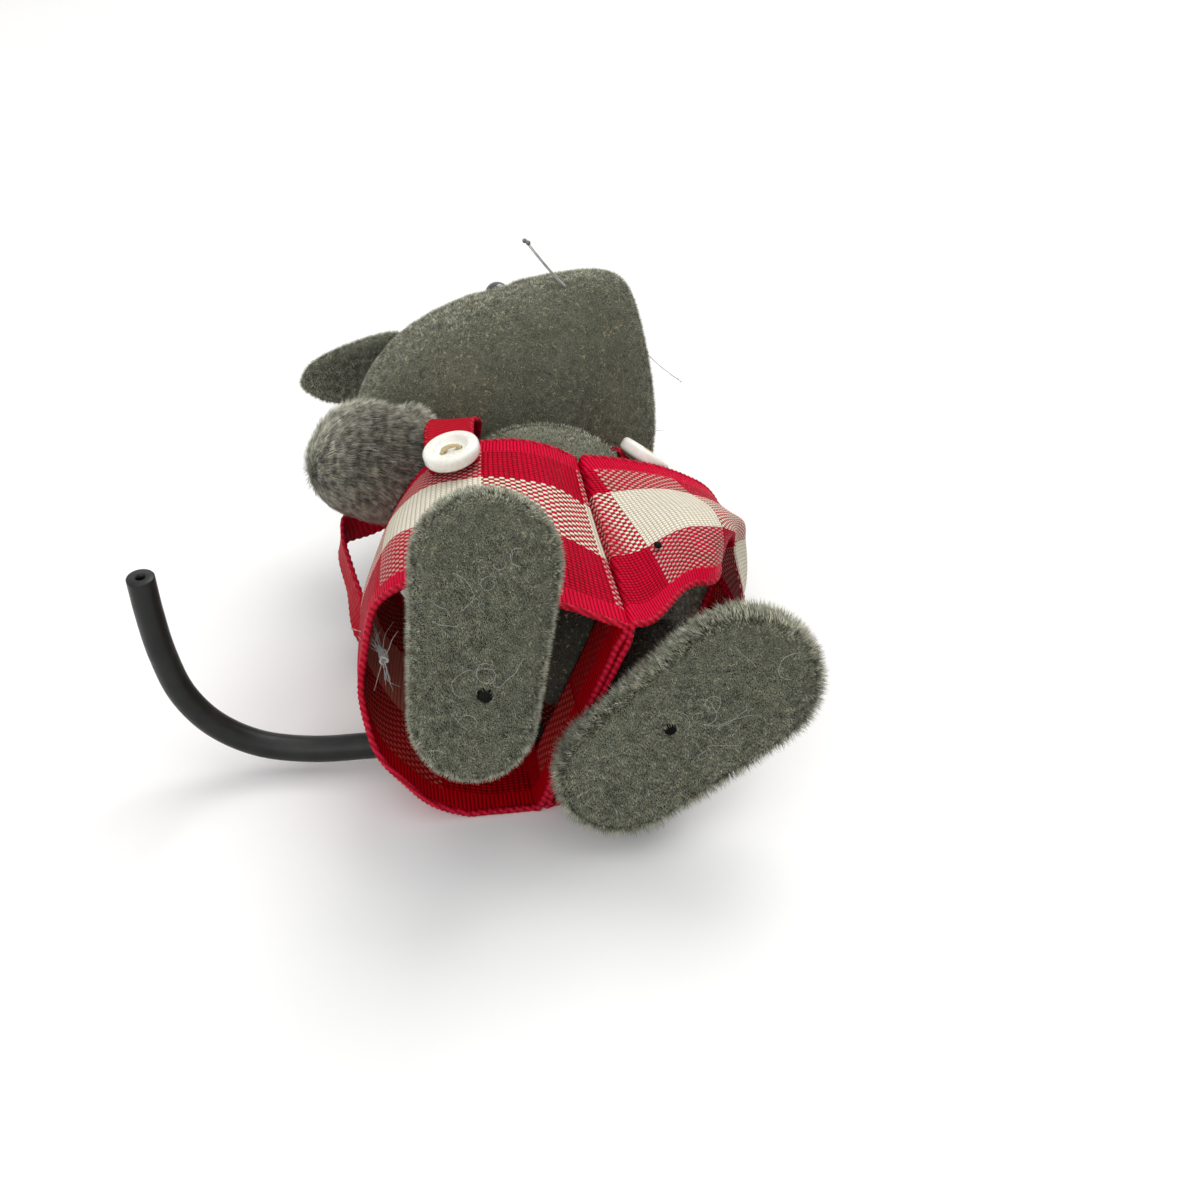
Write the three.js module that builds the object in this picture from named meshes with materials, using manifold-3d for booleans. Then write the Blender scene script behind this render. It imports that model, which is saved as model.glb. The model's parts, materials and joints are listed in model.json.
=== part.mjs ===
// Flocked toy mouse in gingham ribbon dungarees, lying on its back on a table, soles towards -Y.
// Millimetres, +Z up. In the body frame x runs to the mouse's left, y to its head, z to its belly.
import * as THREE from "three";
import { mergeVertices } from "three/addons/utils/BufferGeometryUtils.js";
import Module from "manifold-3d";

const wasm = await Module();
wasm.setup();

// Clearances
const SEAT_GAP = 0.3; // between pieces that touch
const FLOCK_GAP = 0.45; // between a flocked limb and the body it turns against

// How the figure lies, degrees
const BODY_ROLL = 20;
const BODY_YAW = 11;
const BODY_PITCH = 4;
const AXIS_HEIGHT = 13.6; // height of the trouser axis above the table

// Torso
const TORSO_TOP = 21.5;
const TORSO_BOTTOM = -9.5;
const TORSO_HALF_WIDTH = 15;
const TORSO_HALF_DEPTH = 10.6;
const CHEST_FORWARD = 3.6; // the chest's middle ahead of the hips' middle
const CHEST_FROM_Y = 8;
const CHEST_FULL_Y = 18;
const TORSO_WAIST_Y = 2;

// Head
const HEAD_TURN = 15.5;
const HEAD_NOD = 16.2;
const HEAD_FRONT = 23.1; // neck axis to snout tip
const HEAD_BACK = 13.2; // neck axis to the back of the head
const HEAD_HALF_WIDTH = 18.6;
const HEAD_CROWN = 12.6; // widest section's middle up to the crown
const HEAD_CHIN = 8.3; // the same down to the flattened chin
const SNOUT_TAPER = 0.62; // share of the width lost by the tip
const CROWN_SQUARENESS = 2.5; // the crown half of a section lies between an ellipse and a box
const NECK_PEG_RADIUS = 2.5;
const NECK_PEG_DEPTH = 6; // into the torso and into the head
const NECK_FORWARD = 3; // neck axis ahead of the body axis

// Face
const EYE_RADIUS = 1.5;
const EYE_ALONG = 14.8; // ahead of the neck axis
const EYE_UP = 30; // degrees above the head's side
const EYE_SUNK = 1;
const NOSE_RADIUS = 1.7;
const NOSE_ALONG = 17.8;
const WHISKER_RADIUS = 0.2;
const WHISKER_BALL = 0.32;
const WHISKER_LENGTH = 6.5;
const RIGHT_WHISKER_ROOT = [19.3, -27]; // ahead of the neck axis; degrees above the side
const LEFT_WHISKER_ROOT = [16.9, -18];
const WHISKER_PITCH = 6; // degrees round the snout between the two roots

// Ears
const EAR_LENGTH = 13.6;
const EAR_HALF_WIDTH = 6.3;
const EAR_THICKNESS = 3.2;
const EAR_ROOT = 1; // along the snout's axis
const EAR_UP = 43; // root, degrees above the head's side
const EAR_SUNK = 2; // root inside the head's outline
const RIGHT_EAR_SWEEP = 47; // degrees back from straight out
const RIGHT_EAR_RISE = 10;
const RIGHT_EAR_TWIST = -46;
const LEFT_EAR_SWEEP = -45; // the table folds this ear up behind the head
const LEFT_EAR_RISE = 50;
const LEFT_EAR_TWIST = 0;

// Arms
const SHOULDER_Y = 15.4;
const SHOULDER_Z = 2.6;
const SHOULDER_X = 11.2; // where the torso ends and the arm begins
const ARM_REACH = 9.2; // shoulder to the middle of the paw
const ARM_RADIUS = 4.4;
const PAW_RADIUS = 6;
const THUMB_RADIUS = 2.9;
const RIGHT_ARM_LIFT = 8;
const LEFT_ARM_LIFT = -6;
const RIGHT_ARM_FORWARD = 2; // degrees towards the belly
const LEFT_ARM_FORWARD = -27;
const SHOULDER_PIN_RADIUS = 1.25;
const SHOULDER_PIN_DEPTH = 4; // into the torso and into the arm

// Legs
const HIP_X = 9;
const HIP_Y = -4.4;
const RIGHT_HIP_Z = 1;
const LEFT_HIP_Z = -1.6;
const LEG_RADIUS = 5.6;
const LEG_LENGTH = 14.2;
const RIGHT_LEG_FLEX = 22; // forward from the body axis
const LEFT_LEG_FLEX = 13;
const RIGHT_LEG_SPREAD = 18;
const LEFT_LEG_SPREAD = -10;
const RIGHT_FOOT_SPLAY = 15.5;
const LEFT_FOOT_SPLAY = 31;
const HIP_PIN_RADIUS = 1.5;
const HIP_PIN_DEPTH = 4;

// Feet
const FOOT_LENGTH = 26.9;
const TOE_RADIUS = 6.6;
const HEEL_RADIUS = 5.6;
const FOOT_THICKNESS = 4.6;
const FOOT_ROUND = 1.3;
const HEEL_BEHIND_LEG = 10; // heel's back edge behind the leg axis
const SOLE_PIN_RADIUS = 0.6;
const SOLE_PIN_LENGTH = 8;
const SOLE_PIN_SUNK = 0.5;
const RIGHT_PIN_FROM_HEEL = 8.4;
const LEFT_PIN_FROM_HEEL = 12.3;
const RIGHT_PIN_ASIDE = 1; // from the foot's middle line towards the other foot
const LEFT_PIN_ASIDE = 1.4;

// Trousers: two ribbon tubes sewn together
const RIBBON_HEIGHT = 27;
const HEM_Y = -16.5;
const RIBBON_WALL = 0.7;
const SEAM_GAP = 0.3;
const RIGHT_WAIST_HALF_WIDTH = 17.2;
const LEFT_WAIST_HALF_WIDTH = 20;
const HEM_HALF_WIDTH = 21.4;
const WAIST_FRONT = 13.4;
const HEM_FRONT = 13.4;
const WAIST_BACK = 12.6;
const RIGHT_HEM_BACK = 15.6;
const LEFT_HEM_BACK = 13.8;
const CROTCH_Y = -10.5;
const RIGHT_HEM_LIFT = 9.5; // how much the hem rides up at the side
const LEFT_HEM_LIFT = 13;
const LEFT_WAIST_DIP = 5; // the waist tucks under the left arm
const WAIST_EDGE = HEM_Y + RIBBON_HEIGHT;
const SEAM_OPENING = 6; // the two tubes open to each other across this width
const FOLD_SHARE = 0.38; // the left tube's front folds in below this share of its height
const FOLD_BULGE = 2.6; // how far the fold stands out
const FOLD_RISE = 2.4; // and how far it rides up
const FOLD_DROP = 2.2; // the hem hangs in by this below the fold
const FOLD_CORNER_DROP = 3.6; // and by this more at the outer corner
const FOLD_HEM_RISE = 3.5; // the hem rides up by this
const FOLD_CORNER_RISE = 8; // and by this more at the outer corner
const FOLD_CORNER_IN = 2.6; // the corner draws in towards the leg
const OUTER_FULLNESS = 1.9; // the left tube's outer side swells
const RIGHT_FULLNESS = 0.8; // the right tube's front swells
const SEAM_SHARE = 0.48; // tube middle from the centre seam, over its half width
const RIGHT_SQUARENESS = 2.35;
const LEFT_SQUARENESS = 3;

// Tail: rubber tube
const TAIL_RADIUS = 1.4;
const TAIL_BORE = 0.55;
const TAIL_BORE_DEPTH = 6;
const TAIL_PEG_RADIUS = 0.95;
const TAIL_PEG_DEPTH = 3;
const TAIL_HOLE_GAP = 0.45;

// Straps and buttons
const STRAP_WIDTH = 5.4;
const STRAP_THICKNESS = 0.6;
const BUTTON_RADIUS = 2.95;
const BUTTON_THICKNESS = 1.5;
const BUTTON_DISH = 0.55;
const BUTTON_HOLE_RADIUS = 0.4;
const BUTTON_HOLE_OFFSET = 0.85;
const RIGHT_BUTTON = [-14.6, WAIST_EDGE - 4.2, 12.55];
const RIGHT_BUTTON_TILT = [-6, -32];
const LEFT_STRAP_START = WAIST_EDGE + 0.6;
const LEFT_STRAP_CREST = 17.7; // where the left strap turns over the chest
const LEFT_BUTTON = [8.2, THREE.MathUtils.lerp(LEFT_STRAP_START, LEFT_STRAP_CREST, 0.35), 11.8];
const LEFT_BUTTON_TILT = [-22, 20];
const THREAD_RADIUS = 0.26;

// Facets
const ROUND = 20;
const FINE = 28;

const LEFT = 1;
const RIGHT = -1;
const rad = THREE.MathUtils.degToRad;
const vec = (x, y, z) => new THREE.Vector3(x, y, z);

// Closed geometry to a solid, and back
function solidOf(geometry) {
  const bare = geometry.clone();
  for (const name of Object.keys(bare.attributes)) {
    if (name !== "position") bare.deleteAttribute(name);
  }
  const merged = mergeVertices(bare, 1e-4);
  const index = merged.index.array;
  const faces = [];
  for (let i = 0; i < index.length; i += 3) {
    const [a, b, c] = [index[i], index[i + 1], index[i + 2]];
    if (a !== b && b !== c && c !== a) faces.push(a, b, c);
  }
  return new wasm.Manifold(new wasm.Mesh({
    numProp: 3,
    vertProperties: new Float32Array(merged.attributes.position.array),
    triVerts: new Uint32Array(faces),
  }));
}

function geometryOf(solid) {
  const mesh = solid.getMesh();
  const geometry = new THREE.BufferGeometry();
  geometry.setAttribute("position", new THREE.BufferAttribute(new Float32Array(mesh.vertProperties), 3));
  geometry.setIndex(new THREE.BufferAttribute(new Uint32Array(mesh.triVerts), 1));
  return geometry;
}

const cut = (geometry, ...tools) => {
  let solid = solidOf(geometry);
  for (const tool of tools) solid = solid.subtract(solidOf(tool));
  return geometryOf(solid);
};

const join = (geometry, ...others) => {
  let solid = solidOf(geometry);
  for (const other of others) solid = solid.add(solidOf(other));
  return geometryOf(solid);
};

// A closed skin through rings of points, each ring with as many points, capped at both ends
function loft(rings) {
  const count = rings[0].length;
  const points = rings.flat();
  const faces = [];
  for (let r = 0; r < rings.length - 1; r++) {
    for (let i = 0; i < count; i++) {
      const j = (i + 1) % count;
      const [a, b, c, d] = [r * count + i, r * count + j, (r + 1) * count + j, (r + 1) * count + i];
      faces.push(a, b, c, a, c, d);
    }
  }
  for (const [ring, turn] of [[0, -1], [rings.length - 1, 1]]) {
    const middle = rings[ring].reduce((sum, p) => sum.add(p), vec(0, 0, 0)).divideScalar(count);
    const hub = points.push(middle) - 1;
    for (let i = 0; i < count; i++) {
      const [a, b] = [ring * count + i, ring * count + ((i + 1) % count)];
      faces.push(...(turn > 0 ? [hub, a, b] : [hub, b, a]));
    }
  }
  const geometry = new THREE.BufferGeometry().setFromPoints(points);
  geometry.setIndex(faces);
  return geometry;
}

// A turned piece along +Z: outline rows are [radius, z], from the axis back to the axis
function turned(outline, segments = ROUND) {
  const geometry = new THREE.LatheGeometry(outline.map(([r, z]) => new THREE.Vector2(r, z)), segments);
  geometry.rotateX(Math.PI / 2);
  return geometry;
}

const rod = (radius, from, to, segments = 12) => {
  const length = from.distanceTo(to);
  const geometry = new THREE.CylinderGeometry(radius, radius, length, segments);
  const way = to.clone().sub(from).normalize();
  geometry.applyQuaternion(new THREE.Quaternion().setFromUnitVectors(vec(0, 1, 0), way));
  const middle = from.clone().lerp(to, 0.5);
  return geometry.translate(middle.x, middle.y, middle.z);
};

const ball = (radius, at, segments = ROUND) => {
  const geometry = new THREE.SphereGeometry(radius, segments, Math.round(segments * 0.6));
  return geometry.translate(at.x, at.y, at.z);
};

// A limb with a round section that swells and tapers: stations are [point, radius]
function limb(stations, segments = ROUND) {
  const [first, last] = [stations[0], stations[stations.length - 1]];
  const way = last[0].clone().sub(first[0]).normalize();
  const side = vec(0, 0, 1).cross(way).normalize();
  const up = way.clone().cross(side);
  const ring = (centre, radius) => Array.from({ length: segments }, (_, i) => {
    const turn = (2 * Math.PI * i) / segments;
    return centre.clone().addScaledVector(side, radius * Math.cos(turn)).addScaledVector(up, radius * Math.sin(turn));
  });
  return loft(stations.map(([centre, radius]) => ring(centre, radius)));
}

// Materials
const finish = (color, roughness, metalness = 0) => new THREE.MeshStandardMaterial({ color, roughness, metalness });
const flock = finish(0x5b5c55, 1);
const bead = finish(0x080808, 0.15);
const rubber = finish(0x3c3e3d, 0.45);
const gingham = finish(0xa8152c, 0.8);
const ribbon = finish(0xc01a2b, 0.75);
const shell = finish(0xf2efe8, 0.3);
const thread = finish(0xe8dfc8, 0.9);
const peg = finish(0x2a2a2a, 0.6);
const bristle = finish(0xb8b4a8, 0.5);

const named = (name, geometry, material) => {
  const mesh = new THREE.Mesh(geometry, material);
  mesh.name = name;
  return mesh;
};

const sideName = (side) => (side === LEFT ? "left" : "right");

// The body frame and the joints' frames
const bodyTurn = new THREE.Quaternion().setFromEuler(
  new THREE.Euler(rad(BODY_PITCH), rad(BODY_ROLL), rad(BODY_YAW), "ZXY"),
);
const bodyMatrix = new THREE.Matrix4().compose(vec(0, 0, AXIS_HEIGHT), bodyTurn, vec(1, 1, 1));
const bodyInverse = bodyMatrix.clone().invert();

const neckPivot = vec(0, TORSO_TOP + FLOCK_GAP, NECK_FORWARD);
const headTurn = new THREE.Quaternion().setFromEuler(
  new THREE.Euler(rad(-HEAD_NOD), rad(HEAD_TURN), 0, "YXZ"),
);
const shoulder = (side) => vec(side * SHOULDER_X, SHOULDER_Y, SHOULDER_Z);

function legFrame(side) {
  const spread = rad(side === LEFT ? LEFT_LEG_SPREAD : RIGHT_LEG_SPREAD);
  const splay = rad(side === LEFT ? LEFT_FOOT_SPLAY : RIGHT_FOOT_SPLAY);
  const flex = rad(side === LEFT ? LEFT_LEG_FLEX : RIGHT_LEG_FLEX);
  const out = vec(side * Math.sin(spread), -Math.cos(flex), Math.sin(flex)).normalize();
  const across = vec(0, 0, 1).cross(out).normalize();
  const toe = out.clone().cross(across).applyAxisAngle(out, -side * splay);
  const basis = new THREE.Matrix4().makeBasis(toe.clone().cross(out), toe, out);
  return basis.setPosition(side * HIP_X, HIP_Y, side === LEFT ? LEFT_HIP_Z : RIGHT_HIP_Z);
}

// Torso: an egg with seats for the pegs of head, arms, legs and tail
const torsoShare = (y, power, root) => {
  const lower = (TORSO_WAIST_Y - y) / (TORSO_WAIST_Y - TORSO_BOTTOM);
  const upper = (y - TORSO_WAIST_Y) / (TORSO_TOP - TORSO_WAIST_Y);
  return y < TORSO_WAIST_Y
    ? Math.sqrt(Math.max(0, 1 - lower ** 2))
    : Math.max(0, 1 - upper ** power) ** root;
};
const widthShare = (y) => torsoShare(y, 2.4, 0.5);
const depthShare = (y) => torsoShare(y, 3.6, 0.45);

const chestShift = (y) => CHEST_FORWARD * THREE.MathUtils.smoothstep(y, CHEST_FROM_Y, CHEST_FULL_Y);

function torsoBody() {
  const rows = 16;
  const outline = Array.from({ length: rows + 1 }, (_, i) => {
    const y = TORSO_BOTTOM + (TORSO_TOP - TORSO_BOTTOM) * (1 - Math.cos((Math.PI * i) / rows)) / 2;
    return [widthShare(y), y];
  });
  const geometry = turned(outline, FINE);
  geometry.rotateX(-Math.PI / 2).scale(TORSO_HALF_WIDTH, 1, TORSO_HALF_DEPTH);
  const points = geometry.attributes.position;
  for (let i = 0; i < points.count; i++) {
    const y = points.getY(i);
    const deeper = depthShare(y) / Math.max(0.01, widthShare(y));
    points.setZ(i, points.getZ(i) * deeper + chestShift(y));
  }
  return geometry;
}

const neckSeat = (clear) => rod(
  NECK_PEG_RADIUS + clear,
  neckPivot.clone().add(vec(0, -NECK_PEG_DEPTH - clear, 0)),
  neckPivot.clone().add(vec(0, NECK_PEG_DEPTH + clear, 0)),
  16,
);

const shoulderSeat = (side, clear) => rod(
  SHOULDER_PIN_RADIUS + clear,
  shoulder(side).add(vec(-side * (SHOULDER_PIN_DEPTH + clear), 0, 0)),
  shoulder(side).add(vec(side * (SHOULDER_PIN_DEPTH + clear), 0, 0)),
);

// In the leg's own frame the hip pin runs along z through the hip
const hipSeat = (clear) => rod(
  HIP_PIN_RADIUS + clear,
  vec(0, 0, -HIP_PIN_DEPTH - clear),
  vec(0, 0, HIP_PIN_DEPTH + clear),
);

// The room that a leg's rounded top needs in the torso's lower side
const legRoom = () => {
  const reach = LEG_RADIUS + FLOCK_GAP;
  return turned([[0, 0], [reach, 0], [reach, LEG_LENGTH], [0, LEG_LENGTH]]);
};

// Tail route in the body frame, from its socket in the torso out to the cut end
const tailRoute = [
  vec(-4.4, -9.2, 4.6),
  vec(-12.9, -9.65, 3.9),
  vec(-19.9, -10, 3.35),
  vec(-26, -10, 2.9),
  vec(-31.4, -10, 3.8),
  vec(-35.5, -10, 6.5),
  vec(-38.1, -10, 10.6),
  vec(-39.3, -10, 16),
  vec(-39.7, -10, 21.2),
  vec(-39.8, -10, 25.6),
];

function makeTorso() {
  const seats = [neckSeat(SEAT_GAP), tailSeat(SEAT_GAP)];
  for (const side of [RIGHT, LEFT]) {
    seats.push(shoulderSeat(side, SEAT_GAP));
    seats.push(hipSeat(SEAT_GAP).applyMatrix4(legFrame(side)));
    seats.push(legRoom().applyMatrix4(legFrame(side)));
    seats.push(...armRooms(side));
  }
  return named("torso", cut(torsoBody(), ...seats), flock);
}

// The rooms that an arm's stub and paw need in the torso's flank
const armWay = (side) => {
  const lift = rad(side === LEFT ? LEFT_ARM_LIFT : RIGHT_ARM_LIFT);
  const forward = rad(side === LEFT ? LEFT_ARM_FORWARD : RIGHT_ARM_FORWARD);
  return vec(side * Math.cos(lift) * Math.cos(forward), Math.sin(lift), Math.sin(forward));
};

const armRooms = (side) => {
  const root = shoulder(side);
  const paw = root.clone().addScaledVector(armWay(side), ARM_REACH);
  return [
    rod(ARM_RADIUS + FLOCK_GAP, root, root.clone().add(vec(side * 12, 0, 0)), ROUND),
    rod(ARM_RADIUS + 2 * FLOCK_GAP, root.clone().lerp(paw, 0.2), paw, ROUND),
    ball(PAW_RADIUS + FLOCK_GAP, paw),
  ];
};

// Head: sections across the snout's axis, narrowing to a blunt round tip
function headBody() {
  const rows = 22;
  const segments = FINE;
  const rings = [];
  for (let i = 0; i <= rows; i++) {
    const turn = 0.06 + (Math.PI - 0.12) * (i / rows);
    const z = -Math.cos(turn) * (turn < Math.PI / 2 ? HEAD_BACK : HEAD_FRONT);
    const share = turn < Math.PI / 2 ? backShare(-z / HEAD_BACK) : snoutShare(z / HEAD_FRONT);
    const width = HEAD_HALF_WIDTH * share;
    const ring = Array.from({ length: segments }, (_, k) => {
      const a = (2 * Math.PI * k) / segments;
      const [across, up] = sectionPoint(a);
      const high = up > 0 ? HEAD_CROWN : HEAD_CHIN;
      return vec(width * across, high * heightShare(share) * up + headMiddle(share), z);
    });
    rings.push(ring);
  }
  return loft(rings);
}

// The snout narrows towards a blunt round end
function snoutShare(share) {
  const along = Math.max(0, share);
  const taper = 1 - SNOUT_TAPER * along ** 1.66;
  const round = Math.sqrt(Math.max(0, 1 - along ** 2.55));
  return taper * round;
}
const backShare = (along) => (1 - along ** 2.5) ** 0.4;
const heightShare = (share) => share ** 0.67;

// A point of a section: its angle above the side gives shares of the half width and of the height
function sectionPoint(angle) {
  const power = Math.sin(angle) > 0 ? 2 / CROWN_SQUARENESS : 1;
  return [Math.cos(angle), Math.sin(angle)].map((value) => Math.sign(value) * Math.abs(value) ** power);
}
const headMiddle = (share) => HEAD_CHIN * (1 - 0.35 * (1 - share));

function makeHead() {
  const group = new THREE.Group();
  group.name = "head_joint";
  group.position.copy(neckPivot);
  group.quaternion.copy(headTurn);
  const seat = neckSeat(SEAT_GAP).applyMatrix4(
    new THREE.Matrix4().compose(neckPivot, headTurn, vec(1, 1, 1)).invert(),
  );
  const tools = [seat];
  const parts = [];
  for (const side of [RIGHT, LEFT]) {
    const skin = facePoint(EYE_ALONG, EYE_UP, side);
    const eye = skin.clone().lerp(vec(0, headMiddle(1), 0), EYE_SUNK / skin.length());
    tools.push(ball(EYE_RADIUS + SEAT_GAP, eye, 14));
    parts.push(named(`eye_${sideName(side)}`, ball(EYE_RADIUS, eye, 14), bead));
    parts.push(makeEar(side));
    parts.push(makeWhisker(side, "upper"), makeWhisker(side, "lower"));
  }
  const nose = facePoint(NOSE_ALONG, 90, RIGHT);
  tools.push(ball(NOSE_RADIUS + SEAT_GAP, nose, 14));
  parts.push(named("nose_bead", ball(NOSE_RADIUS, nose, 14), bead));
  group.add(named("head", cut(headBody(), ...tools), flock), ...parts);
  return group;
}

// A point on the head's skin: z ahead of the neck axis, degrees above its side
function facePoint(z, up, side) {
  const along = z / (z > 0 ? HEAD_FRONT : HEAD_BACK);
  const share = z > 0 ? snoutShare(along) : backShare(-along);
  const [across, rises] = sectionPoint(rad(up));
  const high = (up > 0 ? HEAD_CROWN : HEAD_CHIN) * heightShare(share);
  return vec(side * HEAD_HALF_WIDTH * share * across, high * rises + headMiddle(share), z);
}

function makeEar(side) {
  const rows = 8;
  const segments = 20;
  const rings = [];
  for (let i = 0; i <= rows; i++) {
    const t = 0.02 + 0.97 * (i / rows);
    const half = EAR_HALF_WIDTH * Math.sin(Math.PI * (0.22 + 0.78 * t)) ** 0.5;
    const thick = (EAR_THICKNESS / 2) * (1 - 0.35 * t) * Math.min(1, (half / EAR_HALF_WIDTH) * 1.6);
    rings.push(Array.from({ length: segments }, (_, k) => {
      const a = (2 * Math.PI * k) / segments;
      return vec(half * Math.cos(a), thick * Math.sin(a) - 1.2 * (half * Math.cos(a) / EAR_HALF_WIDTH) ** 2, EAR_LENGTH * t);
    }));
  }
  const geometry = loft(rings);
  const [sweep, rise, twist] = (side === LEFT
    ? [LEFT_EAR_SWEEP, LEFT_EAR_RISE, LEFT_EAR_TWIST]
    : [RIGHT_EAR_SWEEP, RIGHT_EAR_RISE, RIGHT_EAR_TWIST]).map(rad);
  const out = vec(side * Math.cos(sweep) * Math.cos(rise), Math.sin(rise), -Math.sin(sweep) * Math.cos(rise));
  const wide = vec(0, 1, 0).applyAxisAngle(vec(0, 0, 1), side * 0.3).cross(out).normalize().applyAxisAngle(out, twist);
  const root = facePoint(EAR_ROOT, EAR_UP, side).addScaledVector(out, -EAR_SUNK);
  const basis = new THREE.Matrix4().makeBasis(wide, out.clone().cross(wide), out).setPosition(root);
  geometry.applyMatrix4(basis);
  const grown = headBody();
  grown.translate(0, -headMiddle(1), 0).scale(1 + SEAT_GAP / HEAD_HALF_WIDTH, 1 + SEAT_GAP / HEAD_CHIN, 1.02);
  grown.translate(0, headMiddle(1), 0);
  return named(`ear_${sideName(side)}`, cut(geometry, grown), flock);
}

function makeWhisker(side, k) {
  const left = side === LEFT;
  const step = k === "upper" ? WHISKER_PITCH : 0;
  const [along, up] = left ? LEFT_WHISKER_ROOT : RIGHT_WHISKER_ROOT;
  const root = facePoint(along, up + step, side);
  const way = left ? vec(1, 0.12 + step / 60, -0.17) : vec(-1, 0.25 + step / 60, 0.36);
  const out = way.normalize();
  const from = root.clone().addScaledVector(out, SEAT_GAP + WHISKER_RADIUS);
  const tip = root.clone().addScaledVector(out, WHISKER_LENGTH);
  const geometry = join(rod(WHISKER_RADIUS, from, tip, 6), ball(WHISKER_BALL, tip, 8));
  return named(`whisker_${sideName(side)}_${k}`, geometry, bristle);
}

// Arm: a short stub from the shoulder to a round paw with a thumb
function makeArm(side) {
  const group = new THREE.Group();
  group.name = `arm_${sideName(side)}_joint`;
  group.position.copy(shoulder(side));
  const out = armWay(side);
  const paw = out.clone().multiplyScalar(ARM_REACH);
  const rows = 9;
  const stations = [[out.clone().multiplyScalar(-ARM_RADIUS), ARM_RADIUS * 0.9]];
  stations.push([out.clone().multiplyScalar(ARM_REACH * 0.3), ARM_RADIUS]);
  for (let i = 1; i <= rows; i++) {
    const a = -0.75 + (i / rows) * (Math.PI / 2 + 0.7);
    stations.push([paw.clone().addScaledVector(out, PAW_RADIUS * Math.sin(a)), PAW_RADIUS * Math.cos(a)]);
  }
  const thumb = out.clone().multiplyScalar(ARM_REACH - 4.2).add(vec(0, 4.1, 2));
  const inner = new THREE.BoxGeometry(20, 20, 20).translate(side * (FLOCK_GAP - 10), 0, 0);
  const solid = cut(
    join(limb(stations), ball(THUMB_RADIUS, thumb, 14)),
    inner,
    shoulderSeat(side, SEAT_GAP).translate(...shoulder(side).negate().toArray()),
  );
  group.add(named(`arm_${sideName(side)}`, solid, flock));
  return group;
}

// Leg, foot and the pins that hold them, in the leg's own frame
function makeLeg(side) {
  const group = new THREE.Group();
  group.name = `leg_${sideName(side)}_joint`;
  legFrame(side).decompose(group.position, group.quaternion, group.scale);
  const end = LEG_LENGTH;
  const leg = turned([
    [0, FLOCK_GAP], [LEG_RADIUS * 0.8, FLOCK_GAP], [LEG_RADIUS, 2], [LEG_RADIUS, end - 1], [LEG_RADIUS * 0.96, end], [0, end],
  ]);
  const pinY = (side === LEFT ? LEFT_PIN_FROM_HEEL : RIGHT_PIN_FROM_HEEL) - HEEL_BEHIND_LEG;
  const pinX = side === LEFT ? -LEFT_PIN_ASIDE : RIGHT_PIN_ASIDE;
  const pinTop = end + SEAT_GAP + FOOT_THICKNESS - SOLE_PIN_SUNK;
  const solePin = (clear) => rod(
    SOLE_PIN_RADIUS + clear,
    vec(pinX, pinY, pinTop + (clear ? 2 : 0)),
    vec(pinX, pinY, pinTop - SOLE_PIN_LENGTH - clear),
  );
  group.add(
    named(`leg_${sideName(side)}`, cut(leg, hipSeat(SEAT_GAP), solePin(SEAT_GAP)), flock),
    named(`foot_${sideName(side)}`, cut(footBody().translate(0, 0, end + SEAT_GAP), solePin(SEAT_GAP)), flock),
    named(`sole_pin_${sideName(side)}`, solePin(0), peg),
  );
  return group;
}

// Sole outline: toe and heel arcs joined by straight sides, y towards the toe
function footBody() {
  const toe = FOOT_LENGTH - HEEL_BEHIND_LEG - TOE_RADIUS;
  const heel = HEEL_RADIUS - HEEL_BEHIND_LEG;
  const lean = Math.asin((TOE_RADIUS - HEEL_RADIUS) / (toe - heel));
  const shape = new THREE.Shape();
  shape.absarc(0, toe, TOE_RADIUS - FOOT_ROUND, -lean, Math.PI + lean);
  shape.absarc(0, heel, HEEL_RADIUS - FOOT_ROUND, Math.PI + lean, 2 * Math.PI - lean);
  const geometry = new THREE.ExtrudeGeometry(shape, {
    depth: FOOT_THICKNESS - 2 * FOOT_ROUND,
    bevelThickness: FOOT_ROUND,
    bevelSize: FOOT_ROUND,
    bevelSegments: 3,
    curveSegments: 12,
  });
  return geometry.translate(0, 0, FOOT_ROUND);
}

// Tail
const tailWorld = () => tailRoute.map((p) => p.clone().applyMatrix4(bodyInverse));

function tailTube(radius, sides = 12) {
  const curve = new THREE.CatmullRomCurve3(tailWorld(), false, "centripetal");
  const shape = new THREE.Shape().absarc(0, 0, radius, 0, 2 * Math.PI);
  return new THREE.ExtrudeGeometry(shape, { extrudePath: curve, steps: 30, curveSegments: sides });
}

function tailSeat(clear) {
  const [first, second] = tailWorld();
  const inward = first.clone().sub(second).normalize();
  return rod(
    TAIL_PEG_RADIUS + clear,
    first.clone().addScaledVector(inward, TAIL_PEG_DEPTH + clear),
    first.clone().addScaledVector(inward, -TAIL_PEG_DEPTH - clear),
  );
}

function makeTail() {
  const group = new THREE.Group();
  group.name = "tail_joint";
  const [root, second] = tailWorld();
  group.position.copy(root);
  group.quaternion.setFromUnitVectors(vec(1, 0, 0), second.clone().sub(root).normalize());
  const route = tailWorld();
  const end = route[route.length - 1];
  const before = route[route.length - 2];
  const inward = before.clone().sub(end).normalize();
  const bore = rod(TAIL_BORE, end.clone().addScaledVector(inward, -1), end.clone().addScaledVector(inward, TAIL_BORE_DEPTH), 8);
  const tube = cut(tailTube(TAIL_RADIUS), bore, tailSeat(SEAT_GAP));
  group.updateMatrix();
  tube.applyMatrix4(group.matrix.clone().invert());
  group.add(named("tail", tube, rubber));
  return group;
}

// Trousers: one ribbon tube per leg, open to the other above the crotch
const hemBack = (side) => (side === LEFT ? LEFT_HEM_BACK : RIGHT_HEM_BACK);
const waistHalf = (side) => (side === LEFT ? LEFT_WAIST_HALF_WIDTH : RIGHT_WAIST_HALF_WIDTH);

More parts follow.
